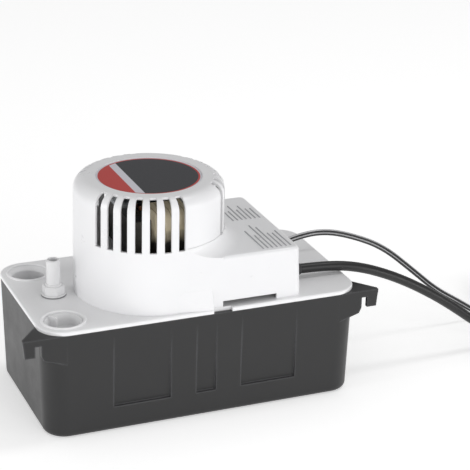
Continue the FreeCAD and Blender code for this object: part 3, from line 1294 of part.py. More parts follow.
def make_inlet_cap():
    """Cap in the front inlet: a cup with a sloping rim and a finger tab."""
    funnel_foot = f"({DECK_TOP} + dim.inlet_lip_height - dim.inlet_funnel)"
    slope = "(dim.inlet_mouth - dim.inlet_bore) / dim.inlet_funnel"
    outer = "(dim.inlet_bore - dim.plug_cup_gap)"
    rim = f"({outer} + {slope} * (dim.plug_cup_top - {funnel_foot}))"
    floor = f"({DECK_TOP} - dim.plug_cup_depth)"
    foot = f"({floor} - dim.plug_cup_wall)"
    cup = turned("inlet_cup", [
        ("0", foot), (outer, foot), (outer, funnel_foot), (rim, "dim.plug_cup_top"),
        (f"{rim} - dim.plug_cup_wall", "dim.plug_cup_top"),
        (f"{outer} - dim.plug_cup_wall", funnel_foot), (f"{outer} - dim.plug_cup_wall", floor),
        ("0", floor),
    ], f"-{INLET_X}", f"-{INLET_Y}")
    tab = block(f"-{INLET_X} - 11", f"-{INLET_Y} - 3", f"{floor} - 0.5", "2", "6",
                f"dim.plug_cup_top - {floor} + 0.3")
    keep(fuse(cup, tab), "inlet_cap")


def sweep(wire, radius):
    """Round solid along a wire."""
    start = wire.Edges[0]
    direction = start.tangentAt(start.FirstParameter)
    ring = Part.Wire(Part.Circle(start.valueAt(start.FirstParameter), direction, radius).toShape())
    return Part.Wire(wire.Edges).makePipeShell([ring], True, False)


def solid(name, shape):
    """Document object for a swept shape."""
    item = doc.addObject("Part::Feature", name)
    item.Shape = shape
    return item


def lead(name, points, radius):
    """Lead through chosen points: straight runs joined by arcs that touch them."""
    corners = [Vector(*point) for point in points]
    edges = []
    here = corners[0]
    bends = []
    for before, corner, after in zip(corners, corners[1:], corners[2:]):
        back = before - corner
        ahead = after - corner
        trim = 0.45 * min(back.Length, ahead.Length)
        half = (math.pi - back.getAngle(ahead)) / 2
        bends.append(round(trim / math.tan(half)))
        arrive = corner + back.normalize() * trim
        leave = corner + ahead.normalize() * trim
        middle = corner + (back + ahead).normalize() * trim * math.tan(half / 2)
        edges.append(Part.LineSegment(here, arrive).toShape())
        edges.append(Part.Arc(arrive, middle, leave).toShape())
        here = leave
    edges.append(Part.LineSegment(here, corners[-1]).toShape())
    wire = Part.Wire(edges)
    shape = sweep(wire, radius)
    share = shape.Volume / (math.pi * radius ** 2 * wire.Length)
    print(name, "bend radii", bends, "volume share", round(share, 3))
    return solid(name, shape)


def coil(name, x, y, mean, radius, foot):
    """Ring that stands for the turns of a coiled lead, two turns wide and three high."""
    outer = f"({mean} + 2 * {radius})"
    inner = f"({mean} - 2 * {radius})"
    soft = f"(0.8 * {radius})"
    top = f"({foot} + 6 * {radius})"
    return turned(name, [
        (inner, f"{foot} + {soft}"), (f"{inner} + {soft}", foot), (f"{outer} - {soft}", foot),
        (outer, f"{foot} + {soft}"), (outer, f"{top} - {soft}"), (f"{outer} - {soft}", top),
        (f"{inner} + {soft}", top), (inner, f"{top} - {soft}"),
    ], x, y)


def coil_tie(label, x, y, radius):
    """Strap round the turns of a coil on the side where no lead leaves."""
    width = f"(4 * {radius})"
    height = f"(6 * {radius})"
    near = f"{y} - {width} / 2"
    hole = block(f"{x} - 3", near, "dim.coil_foot", "6", width, height)
    strap = block(f"{x} - dim.tie_width / 2", f"{near} - dim.tie_thick", "dim.coil_foot - dim.tie_thick",
                  "dim.tie_width", f"{width} + 2 * dim.tie_thick", f"{height} + 2 * dim.tie_thick")
    keep(cut(strap, hole), label)


MAINS_POINTS = [
    (62, -30, 89), (92, -30, 89), (126, -31.5, 86.6), (161.3, -32.3, 73.4), (197.7, -33, 52.4),
    (230, -33, 28.4), (260, -32.3, 5), (289, -32.3, 5),
]
MAINS_TAIL = [(316, -32.3, 12.4), (331, -32.3, 11.6), (345.5, -32.3, 11.9), (360, -32.3, 12.9)]
TWIN_POINTS = [
    (62, 15, 88), (83, 15, 88.2), (104, 15, 94.6), (126, 15, 95.8), (150, 15, 88.6), (177, 15, 75.8),
    (204, 15, 52.4), (226, 15, 32.6), (248, 15, 18.6), (270, 15, 3.5), (290, 15, 3.5),
]
TWIN_TAIL = [(313, 15, 8.3), (329, 15, 7.4), (345, 15, 4.6), (359, 15, 4)]


def make_mains_lead():
    """Mains lead with strain relief, coil, tie and plug."""
    y, z = "dim.cord_exit_y", "dim.cord_exit_z"
    bore = "dim.cord_radius + dim.cord_gap"
    outside = "(dim.relief_wall_out + dim.relief_collar)"
    relief = fuse(
        along_x("dim.relief_inside", y, z, "dim.relief_flange", "dim.relief_wall_in - dim.relief_inside"),
        along_x("dim.relief_inside", y, z, "dim.relief_neck", f"{outside} - dim.relief_inside"),
        along_x("dim.relief_wall_out", y, z, "dim.relief_flange", "dim.relief_collar"),
        taper(outside, y, z, "dim.relief_neck + 0.5", "dim.cord_radius + 0.9",
              f"dim.relief_end - {outside}", (0, 1, 0), "90"),
    )
    hole = along_x("dim.relief_inside", y, z, bore, "dim.relief_end - dim.relief_inside")
    keep(cut(relief, hole), "mains_strain_relief")
    radius = value("dim.cord_radius")
    keep(lead("mains_lead_shape", MAINS_POINTS, radius), "mains_lead")
    ring = coil("mains_ring", "dim.coil_x", "dim.coil_y", "dim.coil_mean", "dim.cord_radius",
                "dim.coil_foot")
    stub = along_x(str(MAINS_POINTS[-1][0]), "dim.plug_y", "dim.coil_foot + dim.cord_radius",
                   "dim.cord_radius", f"dim.coil_x - {MAINS_POINTS[-1][0]}")
    keep(fuse(ring, stub, lead("mains_tail", MAINS_TAIL, radius)), "mains_lead_coil")
    coil_tie("mains_lead_tie", "dim.coil_x", "(dim.coil_y - dim.coil_mean)", "dim.cord_radius")
    make_plug()


def make_plug():
    """Moulded plug with two blades and a ground pin."""
    body = new_body("plug_shape")
    low = "dim.plug_z - dim.plug_half + 0.5"
    half = "dim.plug_half"
    points = [
        ("0", "-dim.plug_neck_half"), ("dim.plug_neck", f"-{half}"), ("dim.plug_length", f"-{half}"),
        ("dim.plug_length", half), ("dim.plug_neck", half), ("0", "dim.plug_neck_half"),
    ]
    solid_body = pad(body, outline(sketch_on(body, "XY_Plane", low), points), "2 * dim.plug_half - 1")
    level = value(low)
    top = level + value("2 * dim.plug_half - 1")
    fillet(body, solid_body, "dim.plug_round",
           lambda edge: is_at(level)(edge) or is_at(top)(edge))
    keep(place(body, "dim.plug_x", "dim.plug_y"), "plug_body")
    front = "dim.plug_x + dim.plug_length"
    blade_z = "(dim.plug_z + dim.blade_lift)"
    blades = [
        block(front, f"dim.plug_y + {side} * dim.blade_pitch / 2 - dim.blade_flat / 2",
              f"{blade_z} - dim.blade_high / 2", "dim.blade_long", "dim.blade_flat", "dim.blade_high")
        for side in (-1, 1)
    ]
    keep(group(*blades), "plug_blades")
    pin = along_x(front, "dim.plug_y", f"{blade_z} - dim.ground_drop", "dim.ground_radius",
                  "dim.ground_long")
    keep(pin, "plug_ground_pin")


def make_twin_lead():
    """Twin lead of the overflow switch with grommet, coil, tie and bare ends."""
    y, z = "dim.twin_exit_y", "dim.twin_exit_z"
    grommet = fuse(
        along_x("dim.relief_inside", y, z, "dim.grommet_flange", "dim.relief_wall_in - dim.relief_inside"),
        along_x("dim.relief_inside", y, z, "dim.grommet_neck", "dim.relief_wall_out - dim.relief_inside"),
        along_x("dim.relief_wall_out", y, z, "dim.grommet_flange", "dim.grommet_collar"),
    )
    hole = along_x("dim.relief_inside", y, z, "dim.twin_radius + dim.cord_gap", "10")
    keep(cut(grommet, hole), "twin_lead_grommet")
    radius = value("dim.twin_radius")
    keep(lead("twin_lead_shape", TWIN_POINTS, radius), "twin_lead")
    ring = coil("twin_ring", "dim.twin_coil_x", "dim.twin_coil_y", "dim.twin_coil_mean",
                "dim.twin_radius", "dim.coil_foot - 0.2")
    stub = along_x(str(TWIN_POINTS[-1][0]), y, "dim.coil_foot - 0.2 + dim.twin_radius", "dim.twin_radius",
                   f"dim.twin_coil_x - {TWIN_POINTS[-1][0]}")
    keep(fuse(ring, stub, lead("twin_tail", TWIN_TAIL, radius)), "twin_lead_coil")
    coil_tie("twin_lead_tie", "dim.twin_coil_x", "(dim.twin_coil_y + dim.twin_coil_mean)",
             "dim.twin_radius")
    x, _, height = TWIN_TAIL[-1]
    ends = [
        along_x(f"{x} + dim.wire_gap", f"{y} + {side} * dim.twin_radius / 2", str(height),
                "dim.bare_radius", "dim.bare_long")
        for side in (-1, 1)
    ]
    keep(group(*ends), "twin_lead_ends")


make_parts = [
    make_tank, make_deck, make_cover, make_label, make_casing, make_intake, make_rotating,
    make_brackets, make_stator, make_float, make_switch_bracket, make_valve, make_pipe,
    make_inlet_cap, make_mains_lead, make_twin_lead,
]
for make in make_parts:
    make()
make_switch("pump", -1, "0")
make_switch("overflow", 1, "dim.overflow_step")

doc.recompute()
faulty = [item.Name for item in doc.Objects if "Invalid" in item.State or "Error" in item.State]
if faulty:
    raise RuntimeError(f"objects that failed to build: {faulty}")
os.makedirs("parts", exist_ok=True)
for label, item in PARTS.items():
    shape = item.Shape
    if shape.isNull() or not shape.isValid():
        raise RuntimeError(f"{label} has no valid shape")
    print(label, len(shape.Solids), round(shape.Volume))
    shape.exportStep(f"parts/{label}.step")
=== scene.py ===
import math

import bmesh
import bpy
from mathutils import Matrix, Vector


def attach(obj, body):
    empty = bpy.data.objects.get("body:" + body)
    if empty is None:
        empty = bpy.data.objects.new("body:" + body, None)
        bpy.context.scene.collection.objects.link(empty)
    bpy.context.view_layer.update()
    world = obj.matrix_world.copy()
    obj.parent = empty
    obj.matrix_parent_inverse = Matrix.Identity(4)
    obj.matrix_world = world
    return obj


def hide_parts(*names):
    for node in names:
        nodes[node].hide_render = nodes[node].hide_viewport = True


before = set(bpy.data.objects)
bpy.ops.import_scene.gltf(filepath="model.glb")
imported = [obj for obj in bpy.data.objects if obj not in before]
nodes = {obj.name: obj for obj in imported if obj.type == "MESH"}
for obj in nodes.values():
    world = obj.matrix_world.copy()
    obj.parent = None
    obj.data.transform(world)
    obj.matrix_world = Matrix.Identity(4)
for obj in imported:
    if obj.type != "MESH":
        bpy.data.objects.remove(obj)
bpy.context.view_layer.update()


def toLinear(hexColour):
    # sRGB hex to linear RGBA
    values = [int(hexColour[i:i + 2], 16) / 255 for i in (1, 3, 5)]
    return [v / 12.92 if v <= 0.04045 else ((v + 0.055) / 1.055) ** 2.4 for v in values] + [1.0]


def setInputs(tree, node, inputs):
    # each input gets a value or another node's output
    for name, source in inputs.items():
        if isinstance(source, bpy.types.NodeSocket):
            tree.links.new(source, node.inputs[name])
        else:
            node.inputs[name].default_value = source


def addNode(tree, kind, settings=None, inputs=None):
    # one node with its settings and inputs
    node = tree.nodes.new(kind)
    for name, setting in (settings or {}).items():
        setattr(node, name, setting)
    setInputs(tree, node, inputs or {})
    return node


def objectPlace(tree):
    # where a point lies on its own piece, in metres
    return addNode(tree, "ShaderNodeTexCoord").outputs["Object"]


def addNoise(tree, where, scale, detail):
    return addNode(tree, "ShaderNodeTexNoise", None,
                   {"Vector": where, "Scale": scale, "Detail": detail}).outputs["Fac"]


def mapRange(tree, source, low, high, newLow=0.0, newHigh=1.0):
    # low to high becomes newLow to newHigh
    return addNode(tree, "ShaderNodeMapRange", None,
                   {"Value": source, "From Min": low, "From Max": high,
                    "To Min": newLow, "To Max": newHigh}).outputs[0]


def mixColours(tree, share, first, second):
    # from the first colour to the second; a colour is hex or another node's output
    ends = [toLinear(end) if isinstance(end, str) else end for end in (first, second)]
    return addNode(tree, "ShaderNodeMix", {"data_type": "RGBA"},
                   {0: share, 6: ends[0], 7: ends[1]}).outputs[2]


def addBump(tree, strength, distance, height, **others):
    return addNode(tree, "ShaderNodeBump", None,
                   {"Strength": strength, "Distance": distance, "Height": height,
                    **others}).outputs[0]


def newMaterial(name):
    # empty material with its shader, ready to be filled
    material = bpy.data.materials.new(name)
    material.use_nodes = True
    tree = material.node_tree
    shader = tree.nodes["Principled BSDF"]
    return material, tree, shader


def grainedFinish(name, look):
    # moulded, cast or rolled surface: soft colour clouds, scuffs, fine grain and worn edges
    material, tree, shader = newMaterial(name)
    where = objectPlace(tree)
    stretch = addNode(tree, "ShaderNodeMapping", None,
                      {"Vector": where, "Scale": look.get("stretch", (1, 1, 1))}).outputs[0]
    clouds = addNoise(tree, where, 1 / look["cloudSize"], 3)
    scuffs = addNode(tree, "ShaderNodeTexNoise", None,
                     {"Vector": stretch, "Scale": 1 / look["scuffSize"], "Detail": 6,
                      "Roughness": 0.7}).outputs["Fac"]
    grain = addNoise(tree, stretch, 1 / look["grainSize"], 2)
    soft = addNode(tree, "ShaderNodeBevel", {"samples": 4}, {"Radius": look["edgeRound"]}).outputs[0]
    facing = addNode(tree, "ShaderNodeNewGeometry").outputs["Normal"]
    along = addNode(tree, "ShaderNodeVectorMath", {"operation": "DOT_PRODUCT"},
                    {0: soft, 1: facing}).outputs["Value"]
    edge = mapRange(tree, along, 0.999, 0.90, 0.0, look["edgeWear"])
    base = mixColours(tree, clouds, look["dark"], look["light"])
    worn = mixColours(tree, edge, base, look["worn"])
    rough = mapRange(tree, scuffs, 0.3, 0.7, *look["roughness"])
    bump = addBump(tree, look["grainStrength"], look["grainSize"] / 4, grain, Normal=soft)
    setInputs(tree, shader, {"Base Color": worn, "Roughness": rough, "Normal": bump,
                             "Metallic": look.get("metallic", 0.0)})
    if "ior" in look:
        setInputs(tree, shader, {"IOR": look["ior"]})
    return material


def addObject(name, data):
    made = bpy.data.objects.new(name, data)
    bpy.context.scene.collection.objects.link(made)
    return made


def finishPiece(piece, body, *replaced):
    # every new piece rides on its body, and may stand for CAD nodes
    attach(piece, body)
    if replaced:
        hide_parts(*replaced)
    return piece


def newTree(name, inputs):
    # geometry tree with named inputs; gives the tree, its input node and the inputs' identifiers
    tree = bpy.data.node_groups.new(name, "GeometryNodeTree")
    tree.interface.new_socket(name="Geometry", in_out="OUTPUT", socket_type="NodeSocketGeometry")
    identifiers = {}
    for label, kind in inputs.items():
        socket = tree.interface.new_socket(name=label, in_out="INPUT", socket_type=kind)
        identifiers[label] = socket.identifier
    return tree, tree.nodes.new("NodeGroupInput").outputs, identifiers


def closeTree(tree, instances, material):
    # instances made real and given their material, as the export needs them
    real = addNode(tree, "GeometryNodeRealizeInstances", None, {"Geometry": instances}).outputs[0]
    coated = addNode(tree, "GeometryNodeSetMaterial", None,
                     {"Geometry": real, "Material": material}).outputs[0]
    addNode(tree, "NodeGroupOutput", None, {"Geometry": coated})


def grownPiece(name, tree, identifiers, settings):
    # runs a tree with its settings and keeps the result as a plain mesh
    piece = addObject(name, bpy.data.meshes.new(name + "Seed"))
    modifier = piece.modifiers.new(name, "NODES")
    modifier.node_group = tree
    for label, setting in settings.items():
        modifier[identifiers[label]] = setting
    grown = piece.evaluated_get(bpy.context.evaluated_depsgraph_get())
    mesh = bpy.data.meshes.new_from_object(grown)
    piece.modifiers.clear()
    piece.data = mesh
    return piece


def skinPiece(name, *skins, sharpFrom=32):
    # one piece of one or more closed skins: faces outwards, smooth but for edges sharper than
    # that many degrees
    vertices, faces = [], []
    for points, sides in skins:
        faces += [tuple(index + len(vertices) for index in side) for side in sides]
        vertices += points
    mesh = bpy.data.meshes.new(name)
    mesh.from_pydata(vertices, [], faces)
    work = bmesh.new()
    work.from_mesh(mesh)
    bmesh.ops.recalc_face_normals(work, faces=work.faces)
    work.to_mesh(mesh)
    work.free()
    mesh.shade_smooth()
    mesh.set_sharp_from_angle(angle=math.radians(sharpFrom))
    return addObject(name, mesh)


cameraPlace = {
    "eye": (-0.41151, -1.08209, 0.58737),
    "azimuth": -22.911,   # degrees from the front, to the left
    "elevation": 22.157,
    "roll": 1.402,
    "lens": 132.38,       # on a 36 mm wide square frame
    "frameWidth": 36,
    "clipEnd": 20,
}


def buildCamera():
    azimuth = math.radians(cameraPlace["azimuth"])
    elevation = math.radians(cameraPlace["elevation"])
    roll = math.radians(cameraPlace["roll"])
    back = Vector((math.sin(azimuth) * math.cos(elevation),
                   -math.cos(azimuth) * math.cos(elevation), math.sin(elevation)))
    right = Vector((math.cos(azimuth), math.sin(azimuth), 0))
    up = back.cross(right)
    turnedRight = math.cos(roll) * right + math.sin(roll) * up
    turnedUp = -math.sin(roll) * right + math.cos(roll) * up
    data = bpy.data.cameras.new("camera")
    data.sensor_width = cameraPlace["frameWidth"]
    data.lens = cameraPlace["lens"]
    data.clip_end = cameraPlace["clipEnd"]
    camera = addObject("camera", data)
    axes = Matrix((turnedRight, turnedUp, back)).transposed()
    camera.matrix_world = Matrix.Translation(cameraPlace["eye"]) @ axes.to_4x4()
    bpy.context.scene.camera = camera


buildCamera()
print("camera ready")


mainsLead = {
    "radius": 0.0037,
    "route": [(0.062, -0.030, 0.089), (0.092, -0.030, 0.089), (0.126, -0.0315, 0.0866),
              (0.1613, -0.0323, 0.0734), (0.1977, -0.033, 0.0524), (0.230, -0.033, 0.0284),
              (0.260, -0.0323, 0.005), (0.289, -0.0323, 0.005)],
    "coilMiddle": (0.316, -0.077),
    "coilMean": 0.041,
    "coilFoot": 0.0013,
    "turnWay": -1,        # clockwise from above
    "startAngle": 90,
    "tail": [(0.331, -0.0323, 0.0116), (0.3455, -0.0323, 0.0119), (0.360, -0.0323, 0.0129)],
}

twinLead = {
    "coreRadius": 0.0012,
    "width": 0.0048,
    "lean": 102,          # degrees from level: the cores lie one above the other
    "highlightTurn": 62,     # the painted highlight along each core faces this way, degrees up from level
    "route": [(0.062, 0.015, 0.088), (0.083, 0.015, 0.0882), (0.104, 0.015, 0.0946),
              (0.126, 0.015, 0.0958), (0.150, 0.015, 0.0886), (0.177, 0.015, 0.0758),
              (0.204, 0.015, 0.0524), (0.226, 0.015, 0.0326), (0.248, 0.015, 0.0186),
              (0.270, 0.015, 0.0035), (0.290, 0.015, 0.0035)],
    "coilMiddle": (0.313, 0.0414),
    "coilMean": 0.024,
    "coilFoot": 0.0011,
    "turnWay": 1,         # anticlockwise from above
    "startAngle": -90,
    "tail": [(0.329, 0.015, 0.0074), (0.345, 0.015, 0.0046), (0.359, 0.015, 0.004)],
}

coilTurns = 5
# two turns wide and three high: (angle, column, layer), angles in turns from the start
coilLadder = [
    (0.00, 1, 0), (0.83, 1, 0), (0.97, 0, 0), (1.67, 0, 0), (1.81, 0, 1), (2.50, 0, 1),
    (2.64, 0, 2), (3.33, 0, 2), (3.47, 1, 2), (4.17, 1, 2), (4.31, 1, 1), (5.00, 1, 1),
]


def easedStep(low, high, share):
    smooth = share * share * (3 - 2 * share)
    return low + (high - low) * smooth


def coilPoints(lead, thick, stepsPerTurn=24):
    # points of the coil's turns, just outside the wound line so that the curve runs on it
    points = []
    outward = 1 / math.cos(math.pi / stepsPerTurn)
    for index in range(coilTurns * stepsPerTurn + 1):
        turn = index / stepsPerTurn
        spot = max(i for i, rung in enumerate(coilLadder[:-1]) if rung[0] <= turn)
        start, end = coilLadder[spot], coilLadder[spot + 1]
        share = (turn - start[0]) / (end[0] - start[0])
        column = easedStep(start[1], end[1], share)
        layer = easedStep(start[2], end[2], share)
        radius = (lead["coilMean"] + (column - 0.5) * thick) * outward
        angle = math.radians(lead["startAngle"]) + lead["turnWay"] * turn * 2 * math.pi
        points.append((lead["coilMiddle"][0] + radius * math.cos(angle),
                       lead["coilMiddle"][1] + radius * math.sin(angle),
                       lead["coilFoot"] + (layer + 0.5) * thick))
    return points


def leadCurve(name, points, thickness):
    # smooth lead through its control points; without thickness it is only a guide line
    data = bpy.data.curves.new(name, "CURVE")
    data.dimensions = "3D"
    data.resolution_u = 6
    data.bevel_depth = 1 if thickness else 0   # the points' radius scales it
    data.bevel_resolution = 5
    data.use_fill_caps = True
    spline = data.splines.new("NURBS")
    spline.points.add(len(points) - 1)
    for point, place in zip(spline.points, points):
        point.co = (*place, 1)
        point.radius = thickness
    spline.order_u = 3
    spline.use_endpoint_u = True
    return addObject(name, data)


mainsPoints = mainsLead["route"] + coilPoints(mainsLead, 2 * mainsLead["radius"]) + mainsLead["tail"]
mainsCurve = leadCurve("mainsLeadCurve", mainsPoints, mainsLead["radius"])
twinPoints = twinLead["route"] + coilPoints(twinLead, twinLead["width"]) + twinLead["tail"]


def tracedPath(points, name):
    # points of the lead's own smooth line, one each sixth of a control span
    guide = leadCurve(name, points, 0)
    guide.data.use_fill_caps = False
    mesh = bpy.data.meshes.new_from_object(guide)
    path = [vertex.co.copy() for vertex in mesh.vertices]
    bpy.data.meshes.remove(mesh)
    bpy.data.objects.remove(guide)
    return path


def twinSection(radius, steps=13, webShare=0.30):
    # two round cores side by side, joined by a thin web: a figure of eight, with each point's
    # direction from the middle of its own core; the web is that share of a core's width
    opening = math.asin(webShare)
    right = []
    for index in range(steps + 1):
        angle = -math.pi + opening + index * (2 * math.pi - 2 * opening) / steps
        right.append((radius + radius * math.cos(angle), radius * math.sin(angle), angle))
    left = [(-across, -up, angle + math.pi) for across, up, angle in right]
    return right + left


def twinTube(name, path, radius, lean, highlightTurn):
    # sweeps the section along the path, its wide side upright and leaning a little back; its
    # UV map holds how far along each point is and how squarely it faces the side where the painted
    # highlight lies
    turn = math.radians(lean)
    outline = twinSection(radius)
    section = [(across * math.cos(turn) - up * math.sin(turn),
                across * math.sin(turn) + up * math.cos(turn)) for across, up, angle in outline]
    facing = [math.cos(angle + turn - math.radians(highlightTurn)) for across, up, angle in outline]
    count = len(section)
    vertices, faces = [], []
    side = None
    for index, place in enumerate(path):
        ahead = path[min(index + 1, len(path) - 1)] - path[max(index - 1, 0)]
        ahead.normalize()
        level = Vector((ahead.y, -ahead.x, 0))
        if level.length > 1e-6:
            side = level.normalized()
        upward = side.cross(ahead).normalized()
        for across, up in section:
            vertices.append(place + side * across + upward * up)
    for ring in range(len(path) - 1):
        for index in range(count):
            here = ring * count + index
            beside = ring * count + (index + 1) % count
            faces.append((here, beside, beside + count, here + count))
    faces.append(tuple(range(count - 1, -1, -1)))
    last = (len(path) - 1) * count
    faces.append(tuple(range(last, last + count)))
    mesh = bpy.data.meshes.new(name)
    mesh.from_pydata(vertices, [], faces)
    wound = mesh.uv_layers.new(name="wound")
    for loop in mesh.loops:
        ring, index = divmod(loop.vertex_index, count)
        wound.data[loop.index].uv = (ring / len(path), facing[index] / 2 + 0.5)
    mesh.shade_smooth()
    return addObject(name, mesh)


twinPath = tracedPath(twinPoints, "twinLeadGuide")
twinTubeMesh = twinTube("twinLeadCores", twinPath, twinLead["coreRadius"], twinLead["lean"],
                        twinLead["highlightTurn"])
finishPiece(twinTubeMesh, "housing", "twin_lead", "twin_lead_coil")
finishPiece(mainsCurve, "housing", "mains_lead", "mains_lead_coil")
print("leads ready")


strainRelief = {
    "reach": (0.0682, 0.0850),    # its two ends along X
    "wall": (0.0708, 0.0735),     # faces of the wall that it clips into
    "inner": 0.0066,              # radius of the flange inside the box
    "neck": 0.0051,
    "collar": 0.0062,             # low collar outside
    "collarThick": 0.0013,
    "sleeve": (0.0052, 0.0044),   # the sleeve's radius at the collar and at its tip
    "bore": 0.0040,
    "ease": 0.0003,               # rounding of its edges
    "rings": {"Count": 4, "First": 0.0766, "Pitch": 0.0021, "Shrink": -0.035, "Bar radius": 0.00045},
    "ringSink": 0.0002,           # how far the rings' middle lies under the sleeve
}


def roundedPath(path, profile, steps=32):
    # turns a closed profile of (place along X, radius) about the lead's own line
    vertices, faces = [], []
    for along, radius in profile:
        spot = next(i for i, point in enumerate(path[1:], 1)
                    if point.x > along or i == len(path) - 1)
        before, after = path[spot - 1], path[spot]
        share = (along - before.x) / (after.x - before.x)
        middle = before.lerp(after, min(max(share, 0), 1))
        for step in range(steps):
            angle = step * 2 * math.pi / steps
            vertices.append((along, middle.y + radius * math.cos(angle),
                             middle.z + radius * math.sin(angle)))
    count = len(profile)
    for ring in range(count):
        for step in range(steps):
            here, beside = ring * steps, (ring + 1) % count * steps
            following = (step + 1) % steps
            faces.append((here + step, beside + step, beside + following, here + following))
    return vertices, faces


def buildRelief():
    # moulded sleeve that clips into the wall and thins out along the lead
    low, high = strainRelief["reach"]
    wallIn, wallOut = strainRelief["wall"]
    collarEnd = wallOut + strainRelief["collarThick"]
    foot, tip = strainRelief["sleeve"]
    bore, ease = strainRelief["bore"], strainRelief["ease"]
    inner, neck, collar = strainRelief["inner"], strainRelief["neck"], strainRelief["collar"]
    profile = [
        (low, bore), (low, inner - ease), (low + ease, inner), (wallIn - ease, inner),
        (wallIn, inner - ease), (wallIn, neck), (wallOut, neck), (wallOut, collar),
        (collarEnd - 2 * ease, collar), (collarEnd - ease, collar - ease), (collarEnd, foot + ease),
        (collarEnd + 2 * ease, foot), (high - 2 * ease, tip), (high, tip - ease), (high, bore),
    ]
    path = tracedPath(mainsPoints, "mainsLeadGuide")
    return skinPiece("mainsStrainRelief", roundedPath(path, profile), sharpFrom=40)


def ringTree():
    # rings strung along X, each a little smaller than the one before
    tree, given, identifiers = newTree("reliefRings", {
        "Count": "NodeSocketInt", "First": "NodeSocketFloat", "Pitch": "NodeSocketFloat",
        "Height": "NodeSocketFloat", "Side": "NodeSocketFloat", "Ring radius": "NodeSocketFloat",
        "Shrink": "NodeSocketFloat", "Bar radius": "NodeSocketFloat", "Material": "NodeSocketMaterial",
    })
    start = addNode(tree, "ShaderNodeCombineXYZ", None,
                    {"X": given["First"], "Y": given["Side"], "Z": given["Height"]}).outputs[0]
    stride = addNode(tree, "ShaderNodeCombineXYZ", None, {"X": given["Pitch"]}).outputs[0]
    spots = addNode(tree, "GeometryNodeMeshLine", {"mode": "OFFSET"},
                    {"Count": given["Count"], "Start Location": start, "Offset": stride}).outputs[0]
    ring = addNode(tree, "GeometryNodeCurvePrimitiveCircle", None,
                   {"Resolution": 32, "Radius": given["Ring radius"]}).outputs[0]
    bar = addNode(tree, "GeometryNodeCurvePrimitiveCircle", None,
                  {"Resolution": 8, "Radius": given["Bar radius"]}).outputs[0]
    hoop = addNode(tree, "GeometryNodeCurveToMesh", None,
                   {"Curve": ring, "Profile Curve": bar}).outputs[0]
    index = addNode(tree, "GeometryNodeInputIndex").outputs[0]
    size = addNode(tree, "ShaderNodeMath", {"operation": "MULTIPLY_ADD"},
                   {0: index, 1: given["Shrink"], 2: 1.0}).outputs[0]
    placed = addNode(tree, "GeometryNodeInstanceOnPoints", None,
                     {"Points": spots, "Instance": hoop, "Rotation": (0, math.pi / 2, 0),
                      "Scale": size}).outputs[0]
    closeTree(tree, placed, given["Material"])
    return tree, identifiers


reliefPiece = buildRelief()
finishPiece(reliefPiece, "housing", "mains_strain_relief")
print("strain relief ready")


